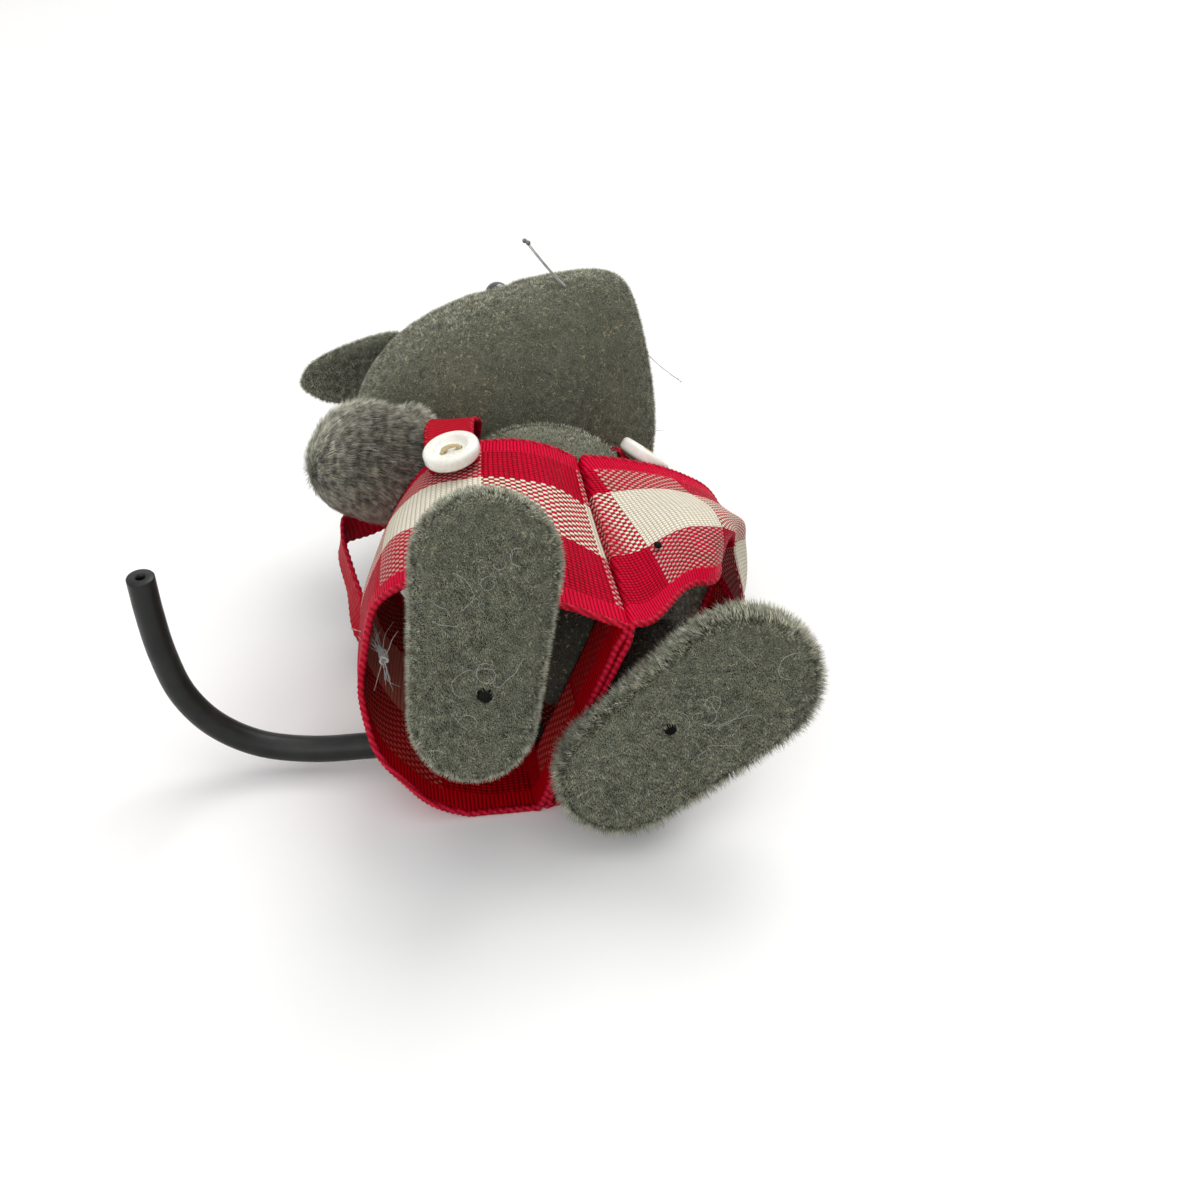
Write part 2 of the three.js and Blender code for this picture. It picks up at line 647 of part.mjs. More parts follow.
const rise = (value, from, to) => THREE.MathUtils.smoothstep(value, from, to);

// The cloth's main fold: the left tube's front stands out, then its hem turns up and in
function draped(side, point, share) {
  const { x, z } = point;
  if (side === RIGHT) {
    const swell = rise(-x, 1, 6) * rise(z, 0, 8) * (1 - rise(share, 0.5, 1)) * rise(share, 0, 0.3);
    return point.add(vec(0, 0, RIGHT_FULLNESS * swell));
  }
  const front = rise(x, 1, 9) * rise(z, -2, 8);
  const corner = rise(x, 9, 21);
  const below = THREE.MathUtils.clamp((FOLD_SHARE - share) / FOLD_SHARE, 0, 1);
  const inward = FOLD_CORNER_IN * corner * (1 - rise(share, 0.38, 0.62));
  const wall = rise(x, 12, 20) * rise(z, -8, 0) * (1 - rise(z, 2, 8));
  const outward = OUTER_FULLNESS * wall * (1 - rise(share, 0.6, 1));
  return point.add(vec(
    outward - front * inward,
    front * (below * (FOLD_HEM_RISE + FOLD_CORNER_RISE * corner) + FOLD_RISE * (1 - rise(share, 0.4, 0.9))),
    front * (FOLD_BULGE * (1 - rise(share, 0.4, 1.05)) - below ** 1.2 * (FOLD_DROP + FOLD_CORNER_DROP * corner)),
  ));
}

function trouserSkin(side, inset) {
  const rows = 12;
  const segments = 44;
  const rings = [];
  for (let r = 0; r <= rows; r++) {
    const t = r / rows;
    const share = inset ? -0.05 + 1.1 * t : t;
    const half = THREE.MathUtils.lerp(HEM_HALF_WIDTH, waistHalf(side), Math.max(0, share) ** 2);
    const front = THREE.MathUtils.lerp(HEM_FRONT, WAIST_FRONT, share) - inset;
    const back = THREE.MathUtils.lerp(hemBack(side), WAIST_BACK, share) - inset;
    const wide = half / (1 + SEAM_SHARE);
    const power = 2 / (side === LEFT ? LEFT_SQUARENESS : RIGHT_SQUARENESS);
    const ring = Array.from({ length: segments }, (_, k) => {
      const a = (2 * Math.PI * k) / segments;
      const [c, s] = [Math.cos(a), Math.sin(a)];
      const x = wide * SEAM_SHARE + (wide - inset) * Math.sign(c) * Math.abs(c) ** power;
      const z = (s > 0 ? front : back) * Math.sign(s) * Math.abs(s) ** power;
      const sideways = Math.atan2(s, c) - 0.1;
      const lift = (side === LEFT ? LEFT_HEM_LIFT : RIGHT_HEM_LIFT) * Math.exp(-(sideways ** 2)) * (1 - share);
      const under = side === LEFT ? Math.exp(-(((sideways + 0.45) / 0.65) ** 2)) : 0;
      const y = HEM_Y + RIBBON_HEIGHT * share + lift - LEFT_WAIST_DIP * under * THREE.MathUtils.clamp(share, 0, 1) ** 3;
      const point = draped(side, vec(side * Math.max(x, SEAM_GAP / 2 + inset), y, z), share);
      point.applyMatrix4(bodyMatrix);
      point.z = Math.max(point.z, inset);
      return point.applyMatrix4(bodyInverse);
    });
    rings.push(side === LEFT ? ring : ring.reverse());
  }
  return loft(rings.reverse());
}

function makeTrouser(side) {
  const top = WAIST_EDGE + SEAM_OPENING;
  const open = new THREE.BoxGeometry(SEAM_OPENING, top - CROTCH_Y, 2 * (TORSO_HALF_DEPTH + FLOCK_GAP));
  open.translate(0, (top + CROTCH_Y) / 2, 0);
  const geometry = cut(trouserSkin(side, 0), trouserSkin(side, RIBBON_WALL), open, tailTube(TAIL_RADIUS + TAIL_HOLE_GAP, 10));
  return named(`trouser_${sideName(side)}`, geometry, gingham);
}

// Strap: a ribbon along points, its width along the given directions
function ribbonStrip(points, widths, width, thickness, steps = 24) {
  const path = new THREE.CatmullRomCurve3(points, false, "centripetal");
  const across = new THREE.CatmullRomCurve3(widths, false, "centripetal");
  const rings = [];
  for (let i = 0; i <= steps; i++) {
    const t = i / steps;
    const along = path.getTangent(t);
    const wide = across.getPoint(t).addScaledVector(along, -across.getPoint(t).dot(along)).normalize();
    const thick = along.clone().cross(wide);
    const at = path.getPoint(t);
    rings.push([[1, 1], [-1, 1], [-1, -1], [1, -1]].map(([u, v]) => at.clone()
      .addScaledVector(wide, (u * width) / 2)
      .addScaledVector(thick, (v * thickness) / 2)));
  }
  return loft(rings);
}

// Stations of each strap: a point on its middle line, and the way its width runs there
const rightStrap = [
  [vec(-14.4, WAIST_EDGE - 6.6, 12.2), vec(0.85, 0, 0.53)],
  [vec(-14.2, WAIST_EDGE - 0.6, 11.8), vec(0.85, 0, 0.53)],
  [vec(-12.2, 15.3, 11.1), vec(0.9, 0, 0.42)],
  [vec(-10.3, 19.3, 8.4), vec(1, 0, 0.15)],
  [vec(-10.2, 20.9, 3.6), vec(1, 0, 0)],
  [vec(-12.6, 20.2, -2), vec(0.9, -0.1, -0.4)],
  [vec(-17, 19.4, -6), vec(0.5, 0, -0.85)],
  [vec(-19.8, 17.8, -8.2), vec(0.22, 0.3, -0.9)],
  [vec(-18.7, 12.2, -10.4), vec(0.15, 0.45, -0.88)],
  [vec(-16.8, 6.8, -12.6), vec(-0.2, 0.6, -0.77)],
  [vec(-13.6, 4.6, -14.4), vec(0, 1, -0.1)],
];
const leftStrap = [
  [vec(8.4, LEFT_STRAP_START, 10.1), vec(0.88, 0, -0.47)],
  [vec(8.5, THREE.MathUtils.lerp(LEFT_STRAP_START, LEFT_STRAP_CREST, 0.515), 10.3), vec(0.88, 0, -0.47)],
  [vec(8.9, LEFT_STRAP_CREST, 8.8), vec(0.9, 0, -0.4)],
  [vec(9.2, 20.3, 5.6), vec(1, 0, -0.1)],
  [vec(9, 21.2, 1), vec(1, 0, 0)],
  [vec(8.8, 19.8, -4.4), vec(1, 0, 0.1)],
  [vec(8.7, 15.4, -8.2), vec(0.94, 0, 0.3)],
  [vec(8.6, 9.4, -9.8), vec(0.94, 0, 0.34)],
];

function makeStrap(side) {
  const stations = side === LEFT ? leftStrap : rightStrap;
  const points = stations.map(([point]) => point);
  const widths = stations.map(([, wide]) => wide);
  return named(`strap_${sideName(side)}`, ribbonStrip(points, widths, STRAP_WIDTH, STRAP_THICKNESS), ribbon);
}

// Button: a dished disc with two holes and a stitch through them
function makeButton(side) {
  const group = new THREE.Group();
  const disc = turned([
    [0, 0], [BUTTON_RADIUS - 0.3, 0], [BUTTON_RADIUS, 0.3], [BUTTON_RADIUS, BUTTON_THICKNESS - 0.35],
    [BUTTON_RADIUS - 0.45, BUTTON_THICKNESS], [BUTTON_RADIUS - 0.95, BUTTON_THICKNESS],
    [BUTTON_RADIUS - 1.5, BUTTON_THICKNESS - BUTTON_DISH], [0, BUTTON_THICKNESS - BUTTON_DISH - 0.1],
  ], FINE);
  const holes = [-1, 1].map((k) => rod(
    BUTTON_HOLE_RADIUS, vec(k * BUTTON_HOLE_OFFSET, 0, -1), vec(k * BUTTON_HOLE_OFFSET, 0, 3), 10,
  ));
  const floor = BUTTON_THICKNESS - BUTTON_DISH;
  const stitchTop = floor + SEAT_GAP + THREAD_RADIUS - 0.1;
  const stitch = join(
    new THREE.BoxGeometry(2 * (BUTTON_HOLE_OFFSET + THREAD_RADIUS), 2 * THREAD_RADIUS, 2 * THREAD_RADIUS)
      .translate(0, 0, stitchTop),
    ...[-1, 1].map((k) => new THREE.BoxGeometry(0.3, 0.3, stitchTop)
      .translate(k * BUTTON_HOLE_OFFSET, 0, stitchTop / 2)),
  );
  group.add(
    named(`button_${sideName(side)}`, cut(disc, ...holes), shell),
    named(`button_thread_${sideName(side)}`, stitch, thread),
  );
  group.position.set(...(side === LEFT ? LEFT_BUTTON : RIGHT_BUTTON));
  group.rotation.set(...(side === LEFT ? LEFT_BUTTON_TILT : RIGHT_BUTTON_TILT).map(rad), 0);
  return group;
}

const pin = (name, geometry, frame) => {
  const mesh = named(name, geometry, peg);
  if (frame) frame.decompose(mesh.position, mesh.quaternion, mesh.scale);
  return mesh;
};

// The whole figure
const body = new THREE.Group();
body.name = "body_frame";
bodyMatrix.decompose(body.position, body.quaternion, body.scale);
body.add(makeTorso(), pin("neck_peg", neckSeat(0)), pin("tail_peg", tailSeat(0)), makeHead(), makeTail());
for (const side of [RIGHT, LEFT]) {
  body.add(
    pin(`shoulder_pin_${sideName(side)}`, shoulderSeat(side, 0)),
    pin(`hip_pin_${sideName(side)}`, hipSeat(0), legFrame(side)),
    makeArm(side),
    makeLeg(side),
    makeTrouser(side),
    makeStrap(side),
    makeButton(side),
  );
}

const frame = new THREE.Group();
frame.name = "figure_frame";
frame.add(body);
const mouse = new THREE.Group();
mouse.add(frame);
mouse.updateMatrixWorld(true);
const reach = new THREE.Box3().setFromObject(mouse, true);
frame.position.set(-(reach.min.x + reach.max.x) / 2, -(reach.min.y + reach.max.y) / 2, -reach.min.z);

export default mouse;
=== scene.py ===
"""Toy mouse in gingham ribbon dungarees, lying on its back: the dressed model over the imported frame.

Sizes are in millimetres until a mesh is made, and metres from there on. In the body frame x runs
to the mouse's left, y to its head and z to its belly.
"""

import json
import logging
import math
from collections.abc import Callable, Iterable
from dataclasses import dataclass, field
from enum import Enum

import bmesh
import bpy
import numpy as np
from mathutils import Matrix, Vector
from mathutils.bvhtree import BVHTree

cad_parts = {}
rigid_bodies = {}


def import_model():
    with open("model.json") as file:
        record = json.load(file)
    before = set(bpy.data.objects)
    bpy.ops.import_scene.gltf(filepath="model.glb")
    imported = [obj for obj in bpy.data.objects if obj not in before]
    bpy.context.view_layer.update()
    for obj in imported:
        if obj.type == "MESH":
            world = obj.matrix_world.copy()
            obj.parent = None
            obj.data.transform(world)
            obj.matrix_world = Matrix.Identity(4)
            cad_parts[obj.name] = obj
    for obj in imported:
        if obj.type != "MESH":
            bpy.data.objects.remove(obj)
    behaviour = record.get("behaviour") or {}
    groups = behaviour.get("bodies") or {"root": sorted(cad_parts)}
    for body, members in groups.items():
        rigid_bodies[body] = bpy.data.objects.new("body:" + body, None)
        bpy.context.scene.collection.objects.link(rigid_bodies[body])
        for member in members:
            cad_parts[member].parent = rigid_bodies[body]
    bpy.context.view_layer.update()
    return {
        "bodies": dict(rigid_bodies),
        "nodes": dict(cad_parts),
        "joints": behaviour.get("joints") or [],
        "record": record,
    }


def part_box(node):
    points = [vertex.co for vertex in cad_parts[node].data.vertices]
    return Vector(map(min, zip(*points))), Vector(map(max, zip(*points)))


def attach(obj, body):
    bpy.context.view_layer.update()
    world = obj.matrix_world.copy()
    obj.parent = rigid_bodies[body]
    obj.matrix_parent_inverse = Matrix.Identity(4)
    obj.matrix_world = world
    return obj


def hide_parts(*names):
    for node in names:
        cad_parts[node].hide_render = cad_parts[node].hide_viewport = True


LOG = logging.getLogger("toy_mouse")
MM = 0.001
MM_PER_CM = 10.0
MERGED_WITHIN = 1e-5  # doubles closer than this are one point, in millimetres
TABLE_GAP = 0.02  # cloth and cords stay this far above the table
Piece = bpy.types.Object
Material = bpy.types.Material
Socket = bpy.types.NodeSocket
BMesh = bmesh.types.BMesh
Colour = tuple[float, float, float]
Point = tuple[float, float, float]
Outline = list[tuple[float, float]]


class Side(Enum):
    """The mouse's own left and right."""

    RIGHT = -1
    LEFT = 1

    @property
    def label(self) -> str:
        """The side's name as the frame's nodes use it."""
        return self.name.lower()


class Pile(Enum):
    """The kinds of flock: short in the open, long on the paws and short inside the trousers; the last two
    are darkened with painted shade.
    """

    SHORT = "short"
    LONG = "long"
    INNER = "inner"


@dataclass(frozen=True)
class Lying:
    """How the figure lies on the table: turns in degrees, places in millimetres."""

    roll: float = 20.0
    yaw: float = 11.0
    pitch: float = 4.0
    axis_height: float = 13.6
    shift_x: float = 8.1683
    shift_y: float = -12.3056

    def matrix(self) -> Matrix:
        """The body frame as a matrix in millimetres.

        Returns:
            A 4 by 4 matrix from the body frame to the room.
        """
        turn = (
            Matrix.Rotation(math.radians(self.yaw), 4, "Z")
            @ Matrix.Rotation(math.radians(self.pitch), 4, "X")
            @ Matrix.Rotation(math.radians(self.roll), 4, "Y")
        )
        return Matrix.Translation((self.shift_x, self.shift_y, self.axis_height)) @ turn


BODY = Lying().matrix()


# Curves and meshes


def moved(points: np.ndarray, matrix: Matrix) -> np.ndarray:
    """Points carried through a matrix.

    Args:
        points: rows of x, y, z.
        matrix: a 4 by 4 matrix in the same unit.

    Returns:
        The rows in the matrix's outer frame.
    """
    full = np.array(matrix)
    return np.asarray(points, float) @ full[:3, :3].T + full[:3, 3]


def through(points: Iterable[Point], count: int) -> np.ndarray:
    """A smooth centripetal curve through points, sampled evenly in its own parameter.

    Args:
        points: the stations that the curve passes.
        count: how many samples to return.

    Returns:
        The samples as rows.
    """
    rows = np.array(list(points), float)
    full = np.vstack([2 * rows[0] - rows[1], rows, 2 * rows[-1] - rows[-2]])
    spans = len(rows) - 1
    out = []
    for share in np.linspace(0, spans, count):
        k = min(int(share), spans - 1)
        t = share - k
        p0, p1, p2, p3 = full[k : k + 4]
        d0, d1, d2 = (max(np.linalg.norm(b - a) ** 0.5, 1e-4) for a, b in ((p0, p1), (p1, p2), (p2, p3)))
        m1 = ((p1 - p0) / d0 - (p2 - p0) / (d0 + d1) + (p2 - p1) / d1) * d1
        m2 = ((p2 - p1) / d1 - (p3 - p1) / (d1 + d2) + (p3 - p2) / d2) * d1
        out.append(p1 + m1 * t + (3 * (p2 - p1) - 2 * m1 - m2) * t**2 + (2 * (p1 - p2) + m1 + m2) * t**3)
    return np.array(out)


def unit(ways: np.ndarray) -> np.ndarray:
    """Directions at a length of one: a single one, or rows of them."""
    return ways / np.linalg.norm(ways, axis=-1, keepdims=True)


def distances(line: np.ndarray) -> np.ndarray:
    """How far each point of a line is from its start, along it."""
    return np.r_[0, np.cumsum(np.linalg.norm(np.diff(line, axis=0), axis=1))]


def evenly(line: np.ndarray, count: int) -> np.ndarray:
    """A line's points set at even steps of its length.

    Args:
        line: rows along the line.
        count: how many rows to return.

    Returns:
        The evenly spaced rows.
    """
    steps = distances(line)
    wanted = np.linspace(0, steps[-1], count)
    return np.stack([np.interp(wanted, steps, line[:, k]) for k in range(3)], 1)


def eased(value: np.ndarray, low: float, high: float) -> np.ndarray:
    """A smooth step from 0 at the low value to 1 at the high one."""
    t = np.clip((value - low) / (high - low), 0, 1)
    return t * t * (3 - 2 * t)


def length_of(line: np.ndarray) -> float:
    """The length of a line of points."""
    return float(np.linalg.norm(np.diff(line, axis=0), axis=1).sum())


def ball_outline(radius: float, count: int, flat: float = 1.0) -> Outline:
    """A ball's outline from its lowest point to its highest.

    Args:
        radius: the ball's radius.
        count: how many points the outline has.
        flat: the ball's height as a share of its width.

    Returns:
        Radius and height rows.
    """
    return [(radius * math.sin(a), -flat * radius * math.cos(a)) for a in np.linspace(0, math.pi, count)]


def points_of(piece: Piece) -> np.ndarray:
    """The points of a piece's mesh, in metres."""
    return np.array([vert.co for vert in piece.data.vertices])


def long_axis(points: np.ndarray) -> tuple[np.ndarray, np.ndarray]:
    """The middle of some points and the direction in which they reach furthest."""
    middle = points.mean(0)
    return middle, np.linalg.svd(points - middle)[2][0]


def new_object(name: str, mesh: bpy.types.Mesh) -> Piece:
    """Puts an object for a finished mesh into the scene.

    Args:
        name: the mesh's name and the object's.
        mesh: the mesh.

    Returns:
        The object.
    """
    mesh.name = name
    piece = bpy.data.objects.new(name, mesh)
    bpy.context.scene.collection.objects.link(piece)
    return piece


def fitted(piece: Piece, material: Material | None, body: str, node: str | None = None) -> Piece:
    """Gives a finished piece its material and its body, hides the node that it replaces, and reports it.

    Args:
        piece: the piece.
        material: its material, unless it has its own already.
        body: the body that it rides on.
        node: the CAD node that it replaces, if it does.

    Returns:
        The piece.
    """
    if material is not None:
        piece.data.materials.append(material)
    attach(piece, body)
    if node is not None:
        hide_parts(node)
    LOG.info("made %s on %s", piece.name, body)
    return piece


def finished(name: str, bm: BMesh, outward: bool = True) -> Piece:
    """A smooth-shaded object from a bmesh whose points are in millimetres.

    Args:
        name: the piece's name.
        bm: the mesh, freed here.
        outward: whether the faces are turned to face out of a closed body.

    Returns:
        The object, in metres.
    """
    if outward:
        bmesh.ops.recalc_face_normals(bm, faces=bm.faces)
    bmesh.ops.scale(bm, vec=(MM, MM, MM), verts=bm.verts)
    for face in bm.faces:
        face.smooth = True
    mesh = bpy.data.meshes.new(name)
    bm.to_mesh(mesh)
    bm.free()
    return new_object(name, mesh)


Placer = Callable[[np.ndarray, np.ndarray], np.ndarray]


def shaped_grid(columns: int, rows: int, place: Placer, lay: Placer | None = None) -> BMesh:
    """A grid bent onto a surface.

    Args:
        columns: cells along the first parameter.
        rows: cells along the second parameter.
        place: gives the surface's points for two arrays of parameters from 0 to 1.
        lay: gives the points' texture coordinates for the same parameters.

    Returns:
        The grid as a bmesh, in millimetres.
    """
    bm = bmesh.new()
    bmesh.ops.create_grid(bm, x_segments=columns, y_segments=rows, size=0.5)
    flat = np.array([vert.co[:2] for vert in bm.verts]) + 0.5
    flat = np.clip(flat, 0, 1)
    points = place(flat[:, 0], flat[:, 1])
    if lay is not None:
        layer = bm.loops.layers.uv.new("ribbon")
        laid = lay(flat[:, 0], flat[:, 1])
        for face in bm.faces:
            for loop in face.loops:
                loop[layer].uv = laid[loop.vert.index]
    for vert, point in zip(bm.verts, points):
        vert.co = point
    return bm


def swept(
    line: np.ndarray,
    radius: np.ndarray,
    sides: int,
    along: np.ndarray | None = None,
    start: Point = (0.31, 0.17, 0.93),
) -> BMesh:
    """A round tube along a line, closed at both ends.

    Args:
        line: rows along the middle.
        radius: the radius at each row.
        sides: how many sides the section has.
        along: the line's direction at each row, where it isn't the line's own.
        start: a direction that isn't along the line, which sets where the section starts.

    Returns:
        The tube as a bmesh, in millimetres.
    """
    if along is None:
        along = unit(np.gradient(line, axis=0))
    across = np.zeros_like(line)
    side = np.cross(along[0], start)
    for k, way in enumerate(along):
        side = unit(side - way * (side @ way))
        across[k] = side
    other = np.cross(along, across)

    def place(u: np.ndarray, v: np.ndarray) -> np.ndarray:
        """Points on the tube: u round it, v along it.

        Args:
            u: how far round it, 0 to 1.
            v: how far along it, 0 to 1.

        Returns:
            The points, as rows.
        """
        k = np.rint(v * (len(line) - 1)).astype(int)
        a = 2 * math.pi * u
        ring = across[k] * np.cos(a)[:, None] + other[k] * np.sin(a)[:, None]
        return line[k] + ring * radius[k][:, None]

    bm = shaped_grid(sides, len(line) - 1, place)
    bmesh.ops.remove_doubles(bm, verts=bm.verts, dist=MERGED_WITHIN)
    bmesh.ops.holes_fill(bm, edges=[e for e in bm.edges if e.is_boundary], sides=0)
    return bm


def merged(parts: Iterable[BMesh]) -> BMesh:
    """Joins several bmeshes into one and frees them.

    Args:
        parts: the bmeshes.

    Returns:
        One bmesh with all of them.
    """
    whole = bmesh.new()
    for part in parts:
        mesh = bpy.data.meshes.new("part")
        part.to_mesh(mesh)
        part.free()
        whole.from_mesh(mesh)
        bpy.data.meshes.remove(mesh)
    return whole


def spun(outline: Outline, matrix: Matrix, steps: int) -> BMesh:
    """A turned body.

    Args:
        outline: radius and height rows, from the axis back to the axis.
        matrix: the turned body's place in millimetres.
        steps: how many steps go round.

    Returns:
        The closed body as a bmesh, in millimetres.
    """
    bm = bmesh.new()
    verts = [bm.verts.new((radius, 0, height)) for radius, height in outline]
    edges = [bm.edges.new(pair) for pair in zip(verts, verts[1:])]
    turn = {"cent": (0, 0, 0), "axis": (0, 0, 1), "angle": 2 * math.pi}
    bmesh.ops.spin(bm, geom=verts + edges, steps=steps, use_merge=True, **turn)
    bmesh.ops.remove_doubles(bm, verts=bm.verts, dist=MERGED_WITHIN)
    bmesh.ops.transform(bm, matrix=matrix, verts=bm.verts)
    return bm


def settled(piece: Piece) -> None:
    """Applies a piece's modifiers to its mesh.

    Args:
        piece: the piece, which keeps its name.
    """
    graph = bpy.context.evaluated_depsgraph_get()
    mesh = bpy.data.meshes.new_from_object(piece.evaluated_get(graph))
    piece.modifiers.clear()
    piece.data = mesh
    mesh.name = piece.name


# Materials


class Graph:
    """A material's node tree with short calls for the nodes that the finishes share."""

    def __init__(self, name: str) -> None:
        """Makes an empty material with its shader and output.

        Args:
            name: the material's name.
        """
        self.material = bpy.data.materials.new(name)
        self.material.use_nodes = True
        self.tree = self.material.node_tree
        self.tree.nodes.clear()
        self.shader = self.tree.nodes.new("ShaderNodeBsdfPrincipled")
        output = self.tree.nodes.new("ShaderNodeOutputMaterial")
        self.tree.links.new(self.shader.outputs[0], output.inputs[0])

    def put(self, node: bpy.types.Node, socket: int | str, value: object) -> None:
        """Links a socket to a node's input, or sets the input's value.

        Args:
            node: the node.
            socket: the input's number or name.
            value: a socket, a number or colour, or None to leave the input as it is.
        """
        if isinstance(value, Socket):
            self.tree.links.new(value, node.inputs[socket])
        elif value is not None:
            node.inputs[socket].default_value = value

    def shade(self, **values: object) -> None:
        """Gives the shader's inputs their values, by name with _ for a space."""
        for name, value in values.items():
            self.put(self.shader, name.replace("_", " "), value)

    def coordinates(self) -> Socket:
        """The object's own coordinates."""
        return self.tree.nodes.new("ShaderNodeTexCoord").outputs["Object"]

    def ribbon_place(self) -> tuple[Socket, Socket]:
        """The place along and across a ribbon, in millimetres, from its own coordinates.

        Returns:
            The number along and the number across.
        """
        split = self.tree.nodes.new("ShaderNodeSeparateXYZ")
        self.put(split, 0, self.tree.nodes.new("ShaderNodeTexCoord").outputs["UV"])
        return self.times(split.outputs[0], MM_PER_CM), self.times(split.outputs[1], MM_PER_CM)

    def lint(self) -> Socket:
        """The share of lint at a place: small specks with bare flock between them."""
        return self.ranged(self.noise(self.coordinates(), 0.42, 2), 0.63, 0.68, 0, 0.85)

    def attribute(self, name: str) -> Socket:
        """A number kept on the mesh's points.

        Args:
            name: the attribute's name.

        Returns:
            The number.
        """
        node = self.tree.nodes.new("ShaderNodeAttribute")
        node.attribute_name = name
        return node.outputs["Fac"]

    def math(self, operation: str, a: object, b: object = None, c: object = None) -> Socket:
        """One step of arithmetic.

        Args:
            operation: the step's name.
            a: the first number.
            b: the second number, where the step has one.
            c: the third number, where the step has one.

        Returns:
            The result.
        """
        node = self.tree.nodes.new("ShaderNodeMath")
        node.operation = operation
        for k, value in enumerate((a, b, c)):
            self.put(node, k, value)
        return node.outputs[0]

    def times(self, *values: object) -> Socket:
        """Numbers multiplied.

        Args:
            values: numbers or sockets.

        Returns:
            Their product.
        """
        whole, *rest = values
        for value in rest:
            whole = self.math("MULTIPLY", whole, value)
        return whole

    def plus(self, *values: object) -> Socket:
        """Numbers added.

        Args:
            values: numbers or sockets.

        Returns:
            Their sum.
        """
        whole, *rest = values
        for value in rest:
            whole = self.math("ADD", whole, value)
        return whole

    def other(self, share: object) -> Socket:
        """What a share leaves of one."""
        return self.math("SUBTRACT", 1.0, share)

    def crown(self, share: object) -> Socket:
        """A round rise and fall while a share goes from 0 to 1."""
        return self.math("SINE", self.times(share, math.pi))

    def swollen(self, height: object, power: float) -> Socket:
        """A height from 0 to 1 raised to a power, which keeps it off zero."""
        return self.math("POWER", self.math("MAXIMUM", height, 0.0001), power)

    def ranged(self, value: object, low: float, high: float, to_low: float, to_high: float) -> Socket:
        """A number carried from one range to another, and held inside it.

        Args:
            value: the number.
            low: where its range starts.
            high: where its range ends.
            to_low: what the start becomes.
            to_high: what the end becomes.

        Returns:
            The number in the new range.
        """
        node = self.tree.nodes.new("ShaderNodeMapRange")
        for k, number in enumerate((value, low, high, to_low, to_high)):
            self.put(node, k, number)
        return node.outputs[0]

    def spread(self, noise: object, to_low: float = 0.0, to_high: float = 1.0) -> Socket:
        """Noise, which keeps to the middle of its range, carried to the whole of another."""
        return self.ranged(noise, 0.3, 0.7, to_low, to_high)

    def noise(self, vector: object, pitch: float, detail: float = 3.0) -> Socket:
        """Noise whose grains are about pitch millimetres.

        Args:
            vector: the place.
            pitch: the grains' size in millimetres.
            detail: how many finer layers it has.

        Returns:
            The noise, near 0.5 and from 0 to 1.
        """
        node = self.tree.nodes.new("ShaderNodeTexNoise")
        self.put(node, "Vector", vector)
        node.inputs["Scale"].default_value = 1 / (pitch * MM)
        node.inputs["Detail"].default_value = detail
        return node.outputs[0]

    def blend(self, factor: object, a: object, b: object, kind: str = "MIX") -> Socket:
        """Two colours mixed by a factor.

        Args:
            factor: the share of the second colour.
            a: the first colour.
            b: the second colour.
            kind: how they are mixed.

        Returns:
            The mixed colour.
        """
        node = self.tree.nodes.new("ShaderNodeMix")
        node.data_type = "RGBA"
        node.blend_type = kind
        self.put(node, 0, factor)
        for k, colour in ((6, a), (7, b)):
            self.put(node, k, (*colour, 1.0) if isinstance(colour, tuple) else colour)
        return node.outputs[2]

    def grey(self, value: object) -> Socket:
        """A number as a grey colour.

        Args:
            value: the number.

        Returns:
            The colour.
        """
        node = self.tree.nodes.new("ShaderNodeCombineColor")
        for k in range(3):
            self.put(node, k, value)
        return node.outputs[0]

    def bump(self, height: object, distance: float, strength: float = 1.0) -> None:
        """Raises the surface by a height of so many millimetres at most.

        Args:
            height: the height, 0 to 1.
            distance: the full height in millimetres.
            strength: how much of it is shown.
        """
        node = self.tree.nodes.new("ShaderNodeBump")
        node.inputs["Strength"].default_value = strength
        node.inputs["Distance"].default_value = distance * MM
        self.put(node, "Height", height)
        self.put(self.shader, "Normal", node.outputs[0])


@dataclass(frozen=True)
class FlockSkin:
    """The felted ground under the flock's fibres."""

    name: str = "flock_ground"
    low: Colour = (0.105, 0.109, 0.078)
    high: Colour = (0.240, 0.247, 0.182)
    speck: Colour = (0.42, 0.38, 0.24)
    felt: float = 0.16
    patch: float = 3.5

    def make(self) -> Material:
        """Makes the material.

        Returns:
            The finished material.
        """
        g = Graph(self.name)
        fine, broad = g.noise(g.coordinates(), self.felt, 4), g.noise(g.coordinates(), self.patch, 2)
        tone = g.ranged(g.plus(g.times(fine, 0.75), g.times(broad, 0.25)), 0.34, 0.66, 0, 1)
        g.shade(
            Base_Color=g.blend(g.lint(), g.blend(tone, self.low, self.high), self.speck),
            Roughness=g.spread(fine, 0.85, 1.0),
            Sheen_Weight=0.1,
            Sheen_Roughness=0.45,
            Specular_IOR_Level=0.1,
        )
        g.bump(fine, 0.22)
        return g.material


